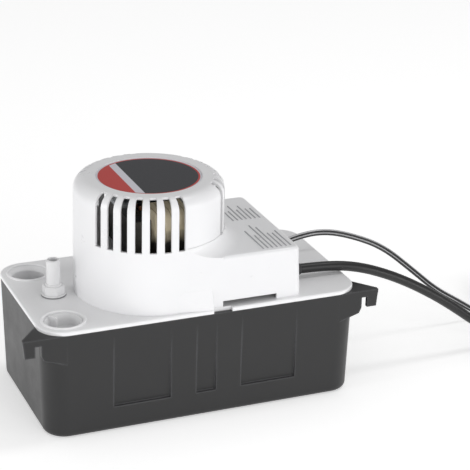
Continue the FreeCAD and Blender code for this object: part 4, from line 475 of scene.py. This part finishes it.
# what each finish shows: sizes in metres, colours as they look in daylight
finishes = {
    # injection moulded black ABS, spark eroded mould: satin, with a fine even grain
    "blackAbsMoulded": {"dark": "#121213", "light": "#19191a", "worn": "#5a5a5d", "edgeWear": 0.7,
                        "roughness": (0.34, 0.44), "grainSize": 0.0007, "grainStrength": 0.2,
                        "cloudSize": 0.05, "scuffSize": 0.02, "edgeRound": 0.0018, "ior": 1.54},
    # injection moulded white ABS, polished mould: smooth, faint flow clouds
    "whiteAbsMoulded": {"dark": "#ececee", "light": "#f4f4f5", "worn": "#ffffff", "edgeWear": 0.4,
                        "roughness": (0.26, 0.36), "grainSize": 0.0006, "grainStrength": 0.08,
                        "cloudSize": 0.06, "scuffSize": 0.03, "edgeRound": 0.0008, "ior": 1.54},
    # the lid, the same ABS from a duller mould: a shade greyer
    "greyWhiteAbsMoulded": {"dark": "#efeff0", "light": "#f6f6f7", "worn": "#ffffff", "edgeWear": 0.9,
                            "roughness": (0.32, 0.44), "grainSize": 0.0006, "grainStrength": 0.12,
                            "cloudSize": 0.05, "scuffSize": 0.02, "edgeRound": 0.0008, "ior": 1.54},
    # the raised lines painted grey: painted shade of embossed lines, flat and a little uneven
    "greyLinePaintedShade": {"dark": "#a6a6a9", "light": "#bdbdc0", "worn": "#d8d8da", "edgeWear": 0.4,
                      "roughness": (0.45, 0.60), "grainSize": 0.0004, "grainStrength": 0.1,
                      "cloudSize": 0.004, "scuffSize": 0.003, "edgeRound": 0.0002, "ior": 1.50},
    # unfilled nylon, moulded: waxy, with soft edges
    "whiteNylonMoulded": {"dark": "#e2e2e3", "light": "#ececed", "worn": "#fafafa", "edgeWear": 0.4,
                          "roughness": (0.34, 0.46), "grainSize": 0.0005, "grainStrength": 0.1,
                          "cloudSize": 0.02, "scuffSize": 0.01, "edgeRound": 0.0004, "ior": 1.53},
    # glass filled black nylon: dull, with a coarser skin
    "blackNylonMoulded": {"dark": "#202022", "light": "#28282a", "worn": "#4a4a4c", "edgeWear": 0.4,
                          "roughness": (0.45, 0.60), "grainSize": 0.0006, "grainStrength": 0.3,
                          "cloudSize": 0.02, "scuffSize": 0.01, "edgeRound": 0.0004, "ior": 1.53},
    # red nylon button of a snap switch
    "redNylonMoulded": {"dark": "#8e1c14", "light": "#a32319", "worn": "#c0564c", "edgeWear": 0.3,
                        "roughness": (0.35, 0.45), "grainSize": 0.0004, "grainStrength": 0.1,
                        "cloudSize": 0.01, "scuffSize": 0.01, "edgeRound": 0.0002, "ior": 1.53},
    # vulcanised rubber: matt, bloomed to a faint grey
    "blackRubberMoulded": {"dark": "#1c1c1c", "light": "#262626", "worn": "#3a3a3a", "edgeWear": 0.3,
                           "roughness": (0.62, 0.80), "grainSize": 0.0006, "grainStrength": 0.3,
                           "cloudSize": 0.02, "scuffSize": 0.008, "edgeRound": 0.0004, "ior": 1.52},
    # soft grey seal rubber, darker than the nylon that it sits under; its grey is partly painted
    # shadow, for the dark line under the valve's flange
    "greySealRubberAndShade": {"dark": "#7e7e80", "light": "#8c8c8e", "worn": "#a0a0a2", "edgeWear": 0.3,
                          "roughness": (0.60, 0.75), "grainSize": 0.0006, "grainStrength": 0.2,
                          "cloudSize": 0.01, "scuffSize": 0.008, "edgeRound": 0.0002, "ior": 1.52},
    # fan of unfilled nylon: cream, from the resin's own colour
    "creamNylonMoulded": {"dark": "#cfc5ae", "light": "#ddd4bf", "worn": "#efe8d8", "edgeWear": 0.4,
                          "roughness": (0.38, 0.50), "grainSize": 0.0005, "grainStrength": 0.1,
                          "cloudSize": 0.02, "scuffSize": 0.01, "edgeRound": 0.0003, "ior": 1.53},
    # extruded PVC jacket: satin, drawn along its length
    "blackPvcExtruded": {"dark": "#101010", "light": "#171718", "worn": "#2c2c2c", "edgeWear": 0.2,
                         "roughness": (0.34, 0.46), "grainSize": 0.0008, "grainStrength": 0.2,
                         "cloudSize": 0.03, "scuffSize": 0.01, "edgeRound": 0.0003, "ior": 1.53},
    # the twin lead's softer, shinier PVC, with a pale band along each core that is a painted highlight
    "twinPvcWithPaintedHighlight": {"dark": "#1b1b1c", "light": "#232324", "worn": "#303031", "edgeWear": 0.1,
                        "roughness": (0.16, 0.24), "grainSize": 0.0008, "grainStrength": 0.1,
                        "cloudSize": 0.03, "scuffSize": 0.01, "edgeRound": 0.0002, "ior": 1.53},
    # bright zinc plate over pressed steel: bluish, slightly clouded
    "steelZincPlated": {"dark": "#a9adb1", "light": "#c3c6c9", "worn": "#dcdee0", "edgeWear": 0.5,
                        "roughness": (0.26, 0.42), "grainSize": 0.0005, "grainStrength": 0.15,
                        "cloudSize": 0.008, "scuffSize": 0.005, "edgeRound": 0.0003, "metallic": 1.0},
    # ground and drawn shaft steel: fine marks round the axis
    "steelGround": {"dark": "#b4b5b6", "light": "#cbcccd", "worn": "#e0e0e1", "edgeWear": 0.4,
                    "roughness": (0.16, 0.28), "grainSize": 0.0004, "grainStrength": 0.1,
                    "cloudSize": 0.01, "scuffSize": 0.004, "edgeRound": 0.0003, "metallic": 1.0,
                    "stretch": (0.3, 0.3, 6)},
    # oil filled sintered bronze: brown, porous
    "bronzeSintered": {"dark": "#8a6a3e", "light": "#a8844f", "worn": "#c9a66b", "edgeWear": 0.4,
                       "roughness": (0.38, 0.55), "grainSize": 0.0003, "grainStrength": 0.4,
                       "cloudSize": 0.004, "scuffSize": 0.003, "edgeRound": 0.0003, "metallic": 1.0},
    # copper bar, bright where it was cut
    "copperDrawn": {"dark": "#b06a45", "light": "#cf8a62", "worn": "#e8ae88", "edgeWear": 0.4,
                    "roughness": (0.22, 0.38), "grainSize": 0.0004, "grainStrength": 0.1,
                    "cloudSize": 0.006, "scuffSize": 0.004, "edgeRound": 0.0002, "metallic": 1.0},
    # nickel plated brass blades: yellow under a bright skin
    "brassNickelPlated": {"dark": "#bfb48c", "light": "#d5cba6", "worn": "#e9dfb8", "edgeWear": 0.5,
                          "roughness": (0.18, 0.30), "grainSize": 0.0004, "grainStrength": 0.08,
                          "cloudSize": 0.006, "scuffSize": 0.004, "edgeRound": 0.0003, "metallic": 1.0},
}
made = {name: grainedFinish(name, look) for name, look in finishes.items()}


def addPaintedHighlight(material, colour):
    # painted highlight: pale where the lead's UV map faces the highlight's side
    tree = material.node_tree
    shader = tree.nodes["Principled BSDF"]
    jacket = shader.inputs["Base Color"].links[0].from_socket
    wound = addNode(tree, "ShaderNodeUVMap", {"uv_map": "wound"}).outputs["UV"]
    facing = addNode(tree, "ShaderNodeSeparateXYZ", None, {"Vector": wound}).outputs["Y"]
    share = mapRange(tree, facing, 0.90, 0.96)
    setInputs(tree, shader, {"Base Color": mixColours(tree, share, jacket, colour)})


# pale band on the upper front of each core: a painted highlight
addPaintedHighlight(made["twinPvcWithPaintedHighlight"], "#c4c4c6")

wears = {
    "blackAbsMoulded": ["tank"],
    "whiteAbsMoulded": ["motor_cover"],
    "greyWhiteAbsMoulded": ["deck"],
    "whiteNylonMoulded": ["float_rod", "float_guide"],
    "creamNylonMoulded": ["cooling_fan"],
    # the seal's grey is partly painted shadow under the valve's flange
    "greySealRubberAndShade": ["valve_seal"],
    "blackNylonMoulded": ["pump_casing", "intake_plate", "impeller", "valve_poppet",
                          "pump_switch", "overflow_switch", "mains_lead_tie", "twin_lead_tie"],
    "redNylonMoulded": ["pump_button", "overflow_button"],
    "blackRubberMoulded": ["slinger", "discharge_pipe", "twin_lead_grommet"],
    "blackPvcExtruded": ["plug_body"],
    "steelZincPlated": ["casing_screws", "lower_bracket", "upper_bracket", "stack_spacers",
                        "motor_screws", "switch_bracket", "bracket_screws",
                        "switch_screws", "pump_lever", "overflow_lever"],
    "steelGround": ["motor_shaft", "pump_lever_pin", "overflow_lever_pin"],
    "bronzeSintered": ["lower_bearing", "upper_bearing"],
    "copperDrawn": ["shading_rings", "twin_lead_ends"],
    "brassNickelPlated": ["plug_blades", "plug_ground_pin"],
}


def dress(piece, material):
    piece.data.materials.clear()
    piece.data.materials.append(material)


for finish, wearers in wears.items():
    for wearer in wearers:
        dress(nodes[wearer], made[finish])
dress(mainsCurve, made["blackPvcExtruded"])
dress(twinTubeMesh, made["twinPvcWithPaintedHighlight"])
dress(reliefPiece, made["blackNylonMoulded"])
print("finishes ready")

ringsMade, ringInputs = ringTree()
reliefRings = grownPiece("mainsReliefRings", ringsMade, ringInputs, {
    **strainRelief["rings"], "Height": mainsLead["route"][0][2], "Side": mainsLead["route"][0][1],
    "Ring radius": strainRelief["sleeve"][0] - strainRelief["ringSink"],
    "Material": made["blackNylonMoulded"],
})
finishPiece(reliefRings, "housing")


mouldedLines = {
    "rear": {"First": (0.0450, 0.0014, 0.1196), "Length": 0.031, "Seed": 4},
    "front": {"First": (0.0450, -0.0546, 0.1196), "Length": 0.044, "Seed": 9},
    # what both groups share; the shortest line is that share of the full length
    "shared": {"Count": 7, "Pitch": 0.0035, "Shortest": 0.55, "Bar radius": 0.00055},
}


def lineTree():
    # half round bars side by side that start level and end unevenly
    tree, given, identifiers = newTree("mouldedLines", {
        "Count": "NodeSocketInt", "First": "NodeSocketVector", "Pitch": "NodeSocketFloat",
        "Length": "NodeSocketFloat", "Shortest": "NodeSocketFloat", "Seed": "NodeSocketInt",
        "Bar radius": "NodeSocketFloat", "Material": "NodeSocketMaterial",
    })
    stride = addNode(tree, "ShaderNodeCombineXYZ", None, {"X": given["Pitch"]}).outputs[0]
    spots = addNode(tree, "GeometryNodeMeshLine", {"mode": "OFFSET"},
                    {"Count": given["Count"], "Start Location": given["First"],
                     "Offset": stride}).outputs[0]
    end = addNode(tree, "ShaderNodeCombineXYZ", None, {"Y": given["Length"]}).outputs[0]
    spine = addNode(tree, "GeometryNodeCurvePrimitiveLine", None, {"End": end}).outputs[0]
    bar = addNode(tree, "GeometryNodeCurvePrimitiveCircle", None,
                  {"Resolution": 12, "Radius": given["Bar radius"]}).outputs[0]
    rod = addNode(tree, "GeometryNodeCurveToMesh", None,
                  {"Curve": spine, "Profile Curve": bar, "Fill Caps": True}).outputs[0]
    share = addNode(tree, "FunctionNodeRandomValue", {"data_type": "FLOAT"},
                    {2: given["Shortest"], 3: 1.0, "Seed": given["Seed"]}).outputs[1]
    size = addNode(tree, "ShaderNodeCombineXYZ", None, {"X": 1.0, "Y": share, "Z": 1.0}).outputs[0]
    placed = addNode(tree, "GeometryNodeInstanceOnPoints", None,
                     {"Points": spots, "Instance": rod, "Scale": size}).outputs[0]
    closeTree(tree, placed, given["Material"])
    return tree, identifiers


linesMade, lineInputs = lineTree()
# the raised lines' grey is painted shade
for side in ("rear", "front"):
    lines = grownPiece(side + "MouldedLines", linesMade, lineInputs, {
        **mouldedLines[side], **mouldedLines["shared"], "Material": made["greyLinePaintedShade"],
    })
    finishPiece(lines, "housing")
print("repeated pieces ready")


def ringSkin(middle, rings, closed=True, steps=72):
    # skin through stacked rings (height, radius, flats): where flats is given, the ring is a
    # hexagon that far across, cut back to the radius at its corners
    vertices, faces = [], []
    for height, radius, *flats in rings:
        for step in range(steps):
            angle = step * 2 * math.pi / steps
            reach = radius
            if flats:
                slant = (angle + math.pi / 6) % (math.pi / 3) - math.pi / 6
                reach = min(radius, flats[0] / 2 / math.cos(slant))
            vertices.append((middle[0] + reach * math.cos(angle),
                             middle[1] + reach * math.sin(angle), height))
    for ring in range(len(rings) if closed else len(rings) - 1):
        here, beside = ring * steps, (ring + 1) % len(rings) * steps
        for step in range(steps):
            following = (step + 1) % steps
            faces.append((here + step, here + following, beside + following, beside + step))
    if not closed:
        faces.append(tuple(range(steps)))
        faces.append(tuple(range((len(rings) - 1) * steps, len(rings) * steps)))
    return vertices, faces


checkValve = {
    "middle": (-0.093, 0.0),
    "flats": 0.0142,                        # across the hexagon's flats
    "corner": 0.00815,                      # radius that its corners are turned off to
    "nut": (0.0838, 0.0900),                # foot and top of the hexagon
    "collar": (0.0057, 0.0912),             # radius and top, as in the next line
    "stem": (0.0050, 0.1092),
    "bore": 0.0032,                         # radius
    "chamber": (0.0049, 0.0640, 0.0800),    # radius, foot and top of the poppet's room
    "intake": (0.0030, 0.0520),             # radius of the bore below it, and its foot
    "hoseEnd": (0.0050, 0.0620),            # radius and top of the end in the discharge pipe
    "shank": (0.0068, 0.0828),              # radius, and top under the flange
    "flange": 0.0090,                       # radius
    "ease": 0.0003,                         # rounding of the edges
    "nutEase": (0.0006, 0.0009),            # the hexagon's upper corners, turned off in and down
    "nutTopIn": (0.0001, 0.0004),           # how much smaller its top is, in radius and flats
    "stemEase": (0.0005, 0.0008, 0.0010),   # rounding of the stem's tip: two steps in, one down
    "hoseEase": (0.0008, 0.0020),           # lead-in of the hose end, in and up
}


def buildValve():
    # hose stem, turned hexagon, flange, shank and chamber in one moulding
    nutFoot, nutTop = checkValve["nut"]
    corner, flats = checkValve["corner"], checkValve["flats"]
    collar, collarTop = checkValve["collar"]
    stem, stemTop = checkValve["stem"]
    bore = checkValve["bore"]
    chamber, chamberFoot, chamberTop = checkValve["chamber"]
    intake, foot = checkValve["intake"]
    hoseEnd, hoseTop = checkValve["hoseEnd"]
    shank, seat = checkValve["shank"]
    flange, ease = checkValve["flange"], checkValve["ease"]
    nutIn, nutDown = checkValve["nutEase"]
    topIn, flatsIn = checkValve["nutTopIn"]
    tipShoulder, tipIn, tipDown = checkValve["stemEase"]
    hoseIn, hoseUp = checkValve["hoseEase"]
    rings = [
        (nutFoot, corner, flats), (nutTop - nutDown, corner, flats),
        (nutTop - ease, corner - nutIn, flats), (nutTop, flats / 2 - topIn, flats - flatsIn),
        (nutTop, collar + ease), (nutTop + ease, collar), (collarTop - ease, collar),
        (collarTop, collar - ease), (collarTop, stem), (stemTop - tipDown, stem),
        (stemTop - ease, stem - tipShoulder), (stemTop, stem - tipIn), (stemTop, bore + ease),
        (stemTop - ease, bore), (chamberTop, bore), (chamberTop, chamber), (chamberFoot, chamber),
        (chamberFoot, intake), (foot, intake), (foot, hoseEnd - hoseIn), (foot + hoseUp, hoseEnd),
        (hoseTop, hoseEnd), (hoseTop, shank - ease), (hoseTop + ease, shank), (seat, shank),
        (seat, flange - ease), (seat + ease, flange), (nutFoot - ease, flange),
        (nutFoot, flange - ease),
    ]
    return skinPiece("checkValveBody", ringSkin(checkValve["middle"], rings))


valvePiece = buildValve()
finishPiece(valvePiece, "housing", "check_valve_body")
dress(valvePiece, made["whiteNylonMoulded"])


inletBeads = {
    "middles": [(-0.0993, -0.0435), (-0.0993, 0.0435)],
    "radius": 0.0150,     # middle of the rounded bead round each inlet
    "half": 0.0011,       # half its width
    "foot": 0.0819,
    "lift": 0.0001,       # its round starts this far above its foot
    "funnelFoot": (0.01395, 0.0815),   # radius and height of its foot on the funnel
    "funnelThick": 0.0004,
    "arcSteps": 8,
}


def buildBeads():
    # rounded bead with its inner foot on the funnel's slope and its outer one on the lid
    inner, innerFoot = inletBeads["funnelFoot"]
    radius, half, foot = inletBeads["radius"], inletBeads["half"], inletBeads["foot"]
    arcSteps = inletBeads["arcSteps"]
    rings = [(innerFoot, inner)]
    for step in range(arcSteps + 1):
        angle = math.pi * (1 - step / arcSteps)
        rings.append((foot + inletBeads["lift"] + half * math.sin(angle),
                      radius + half * math.cos(angle)))
    rings.append((foot, radius + half))
    rings.append((innerFoot, inner + inletBeads["funnelThick"]))
    return skinPiece("inletBeads", *[ringSkin(middle, rings) for middle in inletBeads["middles"]])


beadPiece = buildBeads()
finishPiece(beadPiece, "housing")
dress(beadPiece, made["greyWhiteAbsMoulded"])


inletPlug = {
    "middle": (-0.0993, -0.0435),
    "foot": 0.0713,       # height of its underside
    "floor": 0.0734,      # height of the floor inside
    "outer": (0.01195, 0.0785),             # radius, and height where the rim begins to flare
    "rim": (0.0136, 0.0815),                # radius and height of the rim's edge
    "inner": 0.01065,     # radius
    "ease": 0.0003,       # rounding of the edges
    "rimRound": (0.0001, 0.0010, 0.0013),   # the rim's round, inwards from its edge
    "floorRound": 0.0006,
    # the finger tab: from and to this far from the middle, turned that many degrees; sunk into
    # the floor and standing out over the wall a little
    "tab": {"reach": (0.0050, 0.0113), "top": 0.0832, "thick": 0.0018, "turn": 130,
            "corner": 0.0016, "arcSteps": 5, "sink": 0.0005, "overhang": 0.0006,
            # place across it, from -1 to 1, and size of the outline there
            "slices": [(-1, 0.94), (-0.7, 1), (0.7, 1), (1, 0.94)]},
}


def buildPlug():
    # cup with a flared rim, and a finger tab standing across it
    ease = inletPlug["ease"]
    outer, bend = inletPlug["outer"]
    rim, top = inletPlug["rim"]
    rimOut, rimTop, rimIn = inletPlug["rimRound"]
    floorRound = inletPlug["floorRound"]
    inner, floor, foot = inletPlug["inner"], inletPlug["floor"], inletPlug["foot"]
    rings = [
        (foot, outer - ease), (foot + ease, outer), (bend, outer), (top - ease, rim - rimOut),
        (top, rim - ease), (top, rim - rimTop), (top - ease, rim - rimIn), (bend, inner),
        (floor + floorRound, inner), (floor, inner - floorRound),
    ]
    cup = ringSkin(inletPlug["middle"], rings, closed=False)
    tab = inletPlug["tab"]
    near, far = tab["reach"]
    corner, arcSteps = tab["corner"], tab["arcSteps"]
    outline = [(near, floor - tab["sink"]), (far, floor - tab["sink"]), (far, bend)]
    # its two upper corners: middle of each round and the angle that the round starts at
    for middle, start in ((far + tab["overhang"] - corner, 0), (near + corner, 90)):
        for step in range(arcSteps + 1):
            angle = math.radians(start + step * 90 / arcSteps)
            outline.append((middle + corner * math.cos(angle),
                            tab["top"] - corner + corner * math.sin(angle)))
    turn = math.radians(tab["turn"])
    along = Vector((math.cos(turn), math.sin(turn), 0))
    aside = Vector((-math.sin(turn), math.cos(turn), 0))
    centre = Vector((*inletPlug["middle"], 0))
    centreReach = (near + far) / 2
    centreHeight = (floor + tab["top"]) / 2
    points = []
    # copies of the outline across the tab, the outer two a little smaller for rounded edges
    for place, shrink in tab["slices"]:
        for reach, height in outline:
            reach = centreReach + (reach - centreReach) * shrink
            height = centreHeight + (height - centreHeight) * (1 - (1 - shrink) / 2)
            spot = centre + along * reach + aside * place * tab["thick"] / 2
            points.append((spot.x, spot.y, height))
    count, last = len(outline), len(tab["slices"]) - 1
    sides = [tuple(range(count)), tuple(range(last * count, (last + 1) * count))]
    for copy in range(last):
        for index in range(count):
            following = (index + 1) % count
            sides.append((copy * count + index, copy * count + following,
                          (copy + 1) * count + following, (copy + 1) * count + index))
    return skinPiece("inletPlug", cup, (points, sides))


plugPiece = buildPlug()
finishPiece(plugPiece, "front_inlet_cap", "inlet_cap")
dress(plugPiece, made["whiteNylonMoulded"])


throughBolts = {
    "middles": [(-0.0442, -0.0061), (-0.0030, -0.0061)],
    "shank": (0.0020, 0.1054),          # radius and foot
    "head": (0.0038, 0.1494, 0.1520),   # radius over its corners, foot and top
    "nut": (0.0038, 0.1054, 0.1078),
    "flats": 0.866,                     # across flats, as a share of across corners
    "seatFace": (0.88, 0.84),           # shares of both, where a face is turned off
    "topFace": (0.86, 0.82),            # the same on top of the head
    "ease": 0.0003,       # rounding of the edges
    "topEase": 0.0004,    # and of the head's upper edge
}


def buildBolts():
    # hexagon bolts through the core, heads on the upper bracket, turned off at their corners
    shank, foot = throughBolts["shank"]
    head, seat, top = throughBolts["head"]
    nut, nutFoot, nutTop = throughBolts["nut"]
    flats, ease = throughBolts["flats"], throughBolts["ease"]
    corners, faceFlats = throughBolts["seatFace"]
    topCorners, topFlats = throughBolts["topFace"]
    rings = [
        (foot, shank - ease), (nutFoot, nut * corners, 2 * nut * faceFlats),
        (nutFoot + ease, nut, 2 * nut * flats), (nutTop - ease, nut, 2 * nut * flats),
        (nutTop, nut * corners, 2 * nut * faceFlats), (nutTop, shank), (seat, shank),
        (seat, head * corners, 2 * head * faceFlats), (seat + ease, head, 2 * head * flats),
        (top - throughBolts["topEase"], head, 2 * head * flats),
        (top, head * topCorners, 2 * head * topFlats),
    ]
    return skinPiece("throughBoltPair", *[ringSkin(middle, rings, closed=False)
                                          for middle in throughBolts["middles"]])


boltPiece = buildBolts()
finishPiece(boltPiece, "housing", "through_bolts")
dress(boltPiece, made["steelZincPlated"])
print("valve, inlets and bolts ready")


label = {
    "axis": (-0.0236, -0.0061),   # the motor's axis
    "inkEdge": 0.00008,           # half the width of an ink edge
    "border": 0.0362,             # outside of the red ring
    "field": 0.0349,              # inside of it
    "redEdge": -0.0200,           # the red part ends here, along X from the axis
    "darkEdge": -0.0142,          # and the charcoal part starts here
    "red": "#bf3029",
    "pale": "#d6d4dc",
    "charcoal": "#17181f",
    "charcoalMottle": "#1f2028",
}


def labelFilm():
    # screen printed film under a clear matt coat: flat colours with a faint ink mottle
    material, tree, shader = newMaterial("screenPrintedFilm")
    where = objectPlace(tree)
    middle = addNode(tree, "ShaderNodeMapping", None,
                     {"Vector": where,
                      "Location": (-label["axis"][0], -label["axis"][1], 0)}).outputs[0]
    flat = addNode(tree, "ShaderNodeVectorMath", {"operation": "MULTIPLY"},
                   {0: middle, 1: (1, 1, 0)}).outputs[0]
    reach = addNode(tree, "ShaderNodeVectorMath", {"operation": "LENGTH"}, {0: flat}).outputs["Value"]
    across = addNode(tree, "ShaderNodeSeparateXYZ", None, {"Vector": flat}).outputs["X"]
    mottle = addNoise(tree, where, 900, 3)
    ink = label["red"]
    # each layer covers what lies beyond its edge, which is soft, as ink edges are
    charcoal = mixColours(tree, mottle, label["charcoal"], label["charcoalMottle"])
    for source, edge, above in (
            (across, label["redEdge"], label["pale"]), (across, label["darkEdge"], charcoal),
            (reach, label["field"], label["red"]), (reach, label["border"], label["pale"])):
        share = mapRange(tree, source, edge - label["inkEdge"], edge + label["inkEdge"])
        ink = mixColours(tree, share, ink, above)
    setInputs(tree, shader, {
        "Base Color": ink, "Roughness": mapRange(tree, mottle, 0, 1, 0.36, 0.48),
        "Normal": addBump(tree, 0.1, 0.00003, mottle),
    })
    return material


dress(nodes["top_plate"], labelFilm())


def laminatedSteel():
    # stack of punched sheets half a millimetre thick under a thin dark varnish
    material, tree, shader = newMaterial("steelLaminationsVarnished")
    where = objectPlace(tree)
    height = addNode(tree, "ShaderNodeSeparateXYZ", None, {"Vector": where}).outputs["Z"]
    sheets = addNode(tree, "ShaderNodeMath", {"operation": "PINGPONG"},
                     {0: height, 1: 0.00025}).outputs[0]
    seam = mapRange(tree, sheets, 0, 0.00012)
    stains = addNoise(tree, where, 160, 5)
    steel = mixColours(tree, stains, "#3c3a38", "#6c6964")
    setInputs(tree, shader, {
        "Base Color": mixColours(tree, seam, "#161514", steel),
        "Roughness": mapRange(tree, stains, 0, 1, 0.32, 0.55),
        "Normal": addBump(tree, 0.6, 0.0001, seam), "Metallic": 0.85,
    })
    return material


laminated = laminatedSteel()
dress(nodes["stator_stack"], laminated)
dress(nodes["rotor"], laminated)


def windingTapeWithPaintedShade():
    # varnished polyester tape wound over the coil: overlapping turns, beige, and painted
    # near black towards its foot: painted shade inside the motor cover
    material, tree, shader = newMaterial("polyesterTapeWithPaintedShade")
    where = objectPlace(tree)
    parts = addNode(tree, "ShaderNodeSeparateXYZ", None, {"Vector": where})
    lean = addNode(tree, "ShaderNodeMath", {"operation": "MULTIPLY_ADD"},
                   {0: parts.outputs["Z"], 1: 0.12, 2: parts.outputs["X"]}).outputs[0]
    lap = addNode(tree, "ShaderNodeMath", {"operation": "PINGPONG"}, {0: lean, 1: 0.0026}).outputs[0]
    seam = mapRange(tree, lap, 0, 0.0004)
    stains = addNoise(tree, where, 120, 5)
    tape = mixColours(tree, stains, "#cbbd9c", "#ece2c8")
    lapped = mixColours(tree, seam, "#94845f", tape)
    level = addNode(tree, "ShaderNodeMath", {"operation": "MULTIPLY_ADD"},
                    {0: stains, 1: 0.010, 2: parts.outputs["Z"]}).outputs[0]
    outsidePaintedShade = mapRange(tree, level, 0.137, 0.147)   # heights where the painted shade fades out
    wrinkle = addNoise(tree, where, 700, 3)
    height = addNode(tree, "ShaderNodeMath", {"operation": "MULTIPLY_ADD"},
                     {0: wrinkle, 1: 0.3, 2: seam}).outputs[0]
    # near black below those heights: painted shade, not a colour of the tape
    setInputs(tree, shader, {
        "Base Color": mixColours(tree, outsidePaintedShade, "#1d1915", lapped),
        "Normal": addBump(tree, 0.6, 0.00015, height), "Roughness": 0.45,
    })
    return material


tapeWithPaintedShade = windingTapeWithPaintedShade()
dress(nodes["coil_winding"], tapeWithPaintedShade)
dress(nodes["coil_bobbin"], tapeWithPaintedShade)   # the bobbin wears the tape's beige too, with the same painted shade towards its foot


def beadFoam():
    # expanded polystyrene float: 3 mm beads pressed together
    material, tree, shader = newMaterial("polystyreneFoamMoulded")
    where = objectPlace(tree)
    beads = addNode(tree, "ShaderNodeTexVoronoi", {"feature": "DISTANCE_TO_EDGE"},
                    {"Vector": where, "Scale": 330}).outputs["Distance"]
    joint = mapRange(tree, beads, 0, 0.08)
    setInputs(tree, shader, {
        "Base Color": mixColours(tree, joint, "#c9c6bc", "#ebe8e0"),
        "Normal": addBump(tree, 0.5, 0.0002, joint), "Roughness": 0.75,
    })
    return material


dress(nodes["float"], beadFoam())
print("special finishes ready")


studio = {
    "floorSize": 12.0,
    "floorColour": "#fbfbfb",
    "floorRoughness": 0.9,
    "floorGlow": 0.40,    # a lit sweep, as under catalogue shots
    "daylight": 0.46,
    "lights": [   # name, place, aimed at, size, power
        ("frontLight", (0.3, -2.0, 0.6), (0, 0, 0.08), 1.2, 10),
        ("rightLight", (1.6, -1.5, 0.3), (0.1, 0, 0.06), 0.8, 6),
        ("leftLight", (-1.9, -0.2, 0.35), (0, 0, 0.06), 0.8, 9),
        ("topLight", (0.85, 0.0, 1.9), (0.1, 0, 0.1), 0.4, 5),
    ],
}

half = studio["floorSize"] / 2
floorData = bpy.data.meshes.new("studioFloor")
floorData.from_pydata([(-half, -half, 0), (half, -half, 0), (half, half, 0), (-half, half, 0)],
                      [], [(0, 1, 2, 3)])
studioFloor = addObject("studioFloor", floorData)
# white paper sweep: matt, and glowing a little
floorMaterial, floorTree, floorShader = newMaterial("whitePaperSweep")
setInputs(floorTree, floorShader, {
    "Base Color": toLinear(studio["floorColour"]), "Roughness": studio["floorRoughness"],
    "Emission Color": toLinear("#ffffff"), "Emission Strength": studio["floorGlow"],
})
dress(studioFloor, floorMaterial)


def areaLight(name, place, target, size, power):
    # round soft box that faces its target
    data = bpy.data.lights.new(name, "AREA")
    data.shape = "DISK"
    data.size = size
    data.energy = power
    light = addObject(name, data)
    aim = (Vector(target) - Vector(place)).to_track_quat("-Z", "Y")
    light.matrix_world = Matrix.Translation(place) @ aim.to_matrix().to_4x4()


for light in studio["lights"]:
    areaLight(*light)
world = bpy.data.worlds.new("studio")
bpy.context.scene.world = world
world.use_nodes = True
setInputs(world.node_tree, world.node_tree.nodes["Background"],
          {"Color": toLinear("#ffffff"), "Strength": studio["daylight"]})
bpy.context.scene.view_settings.view_transform = "Standard"   # plain colours, as in a catalogue
print("light ready")
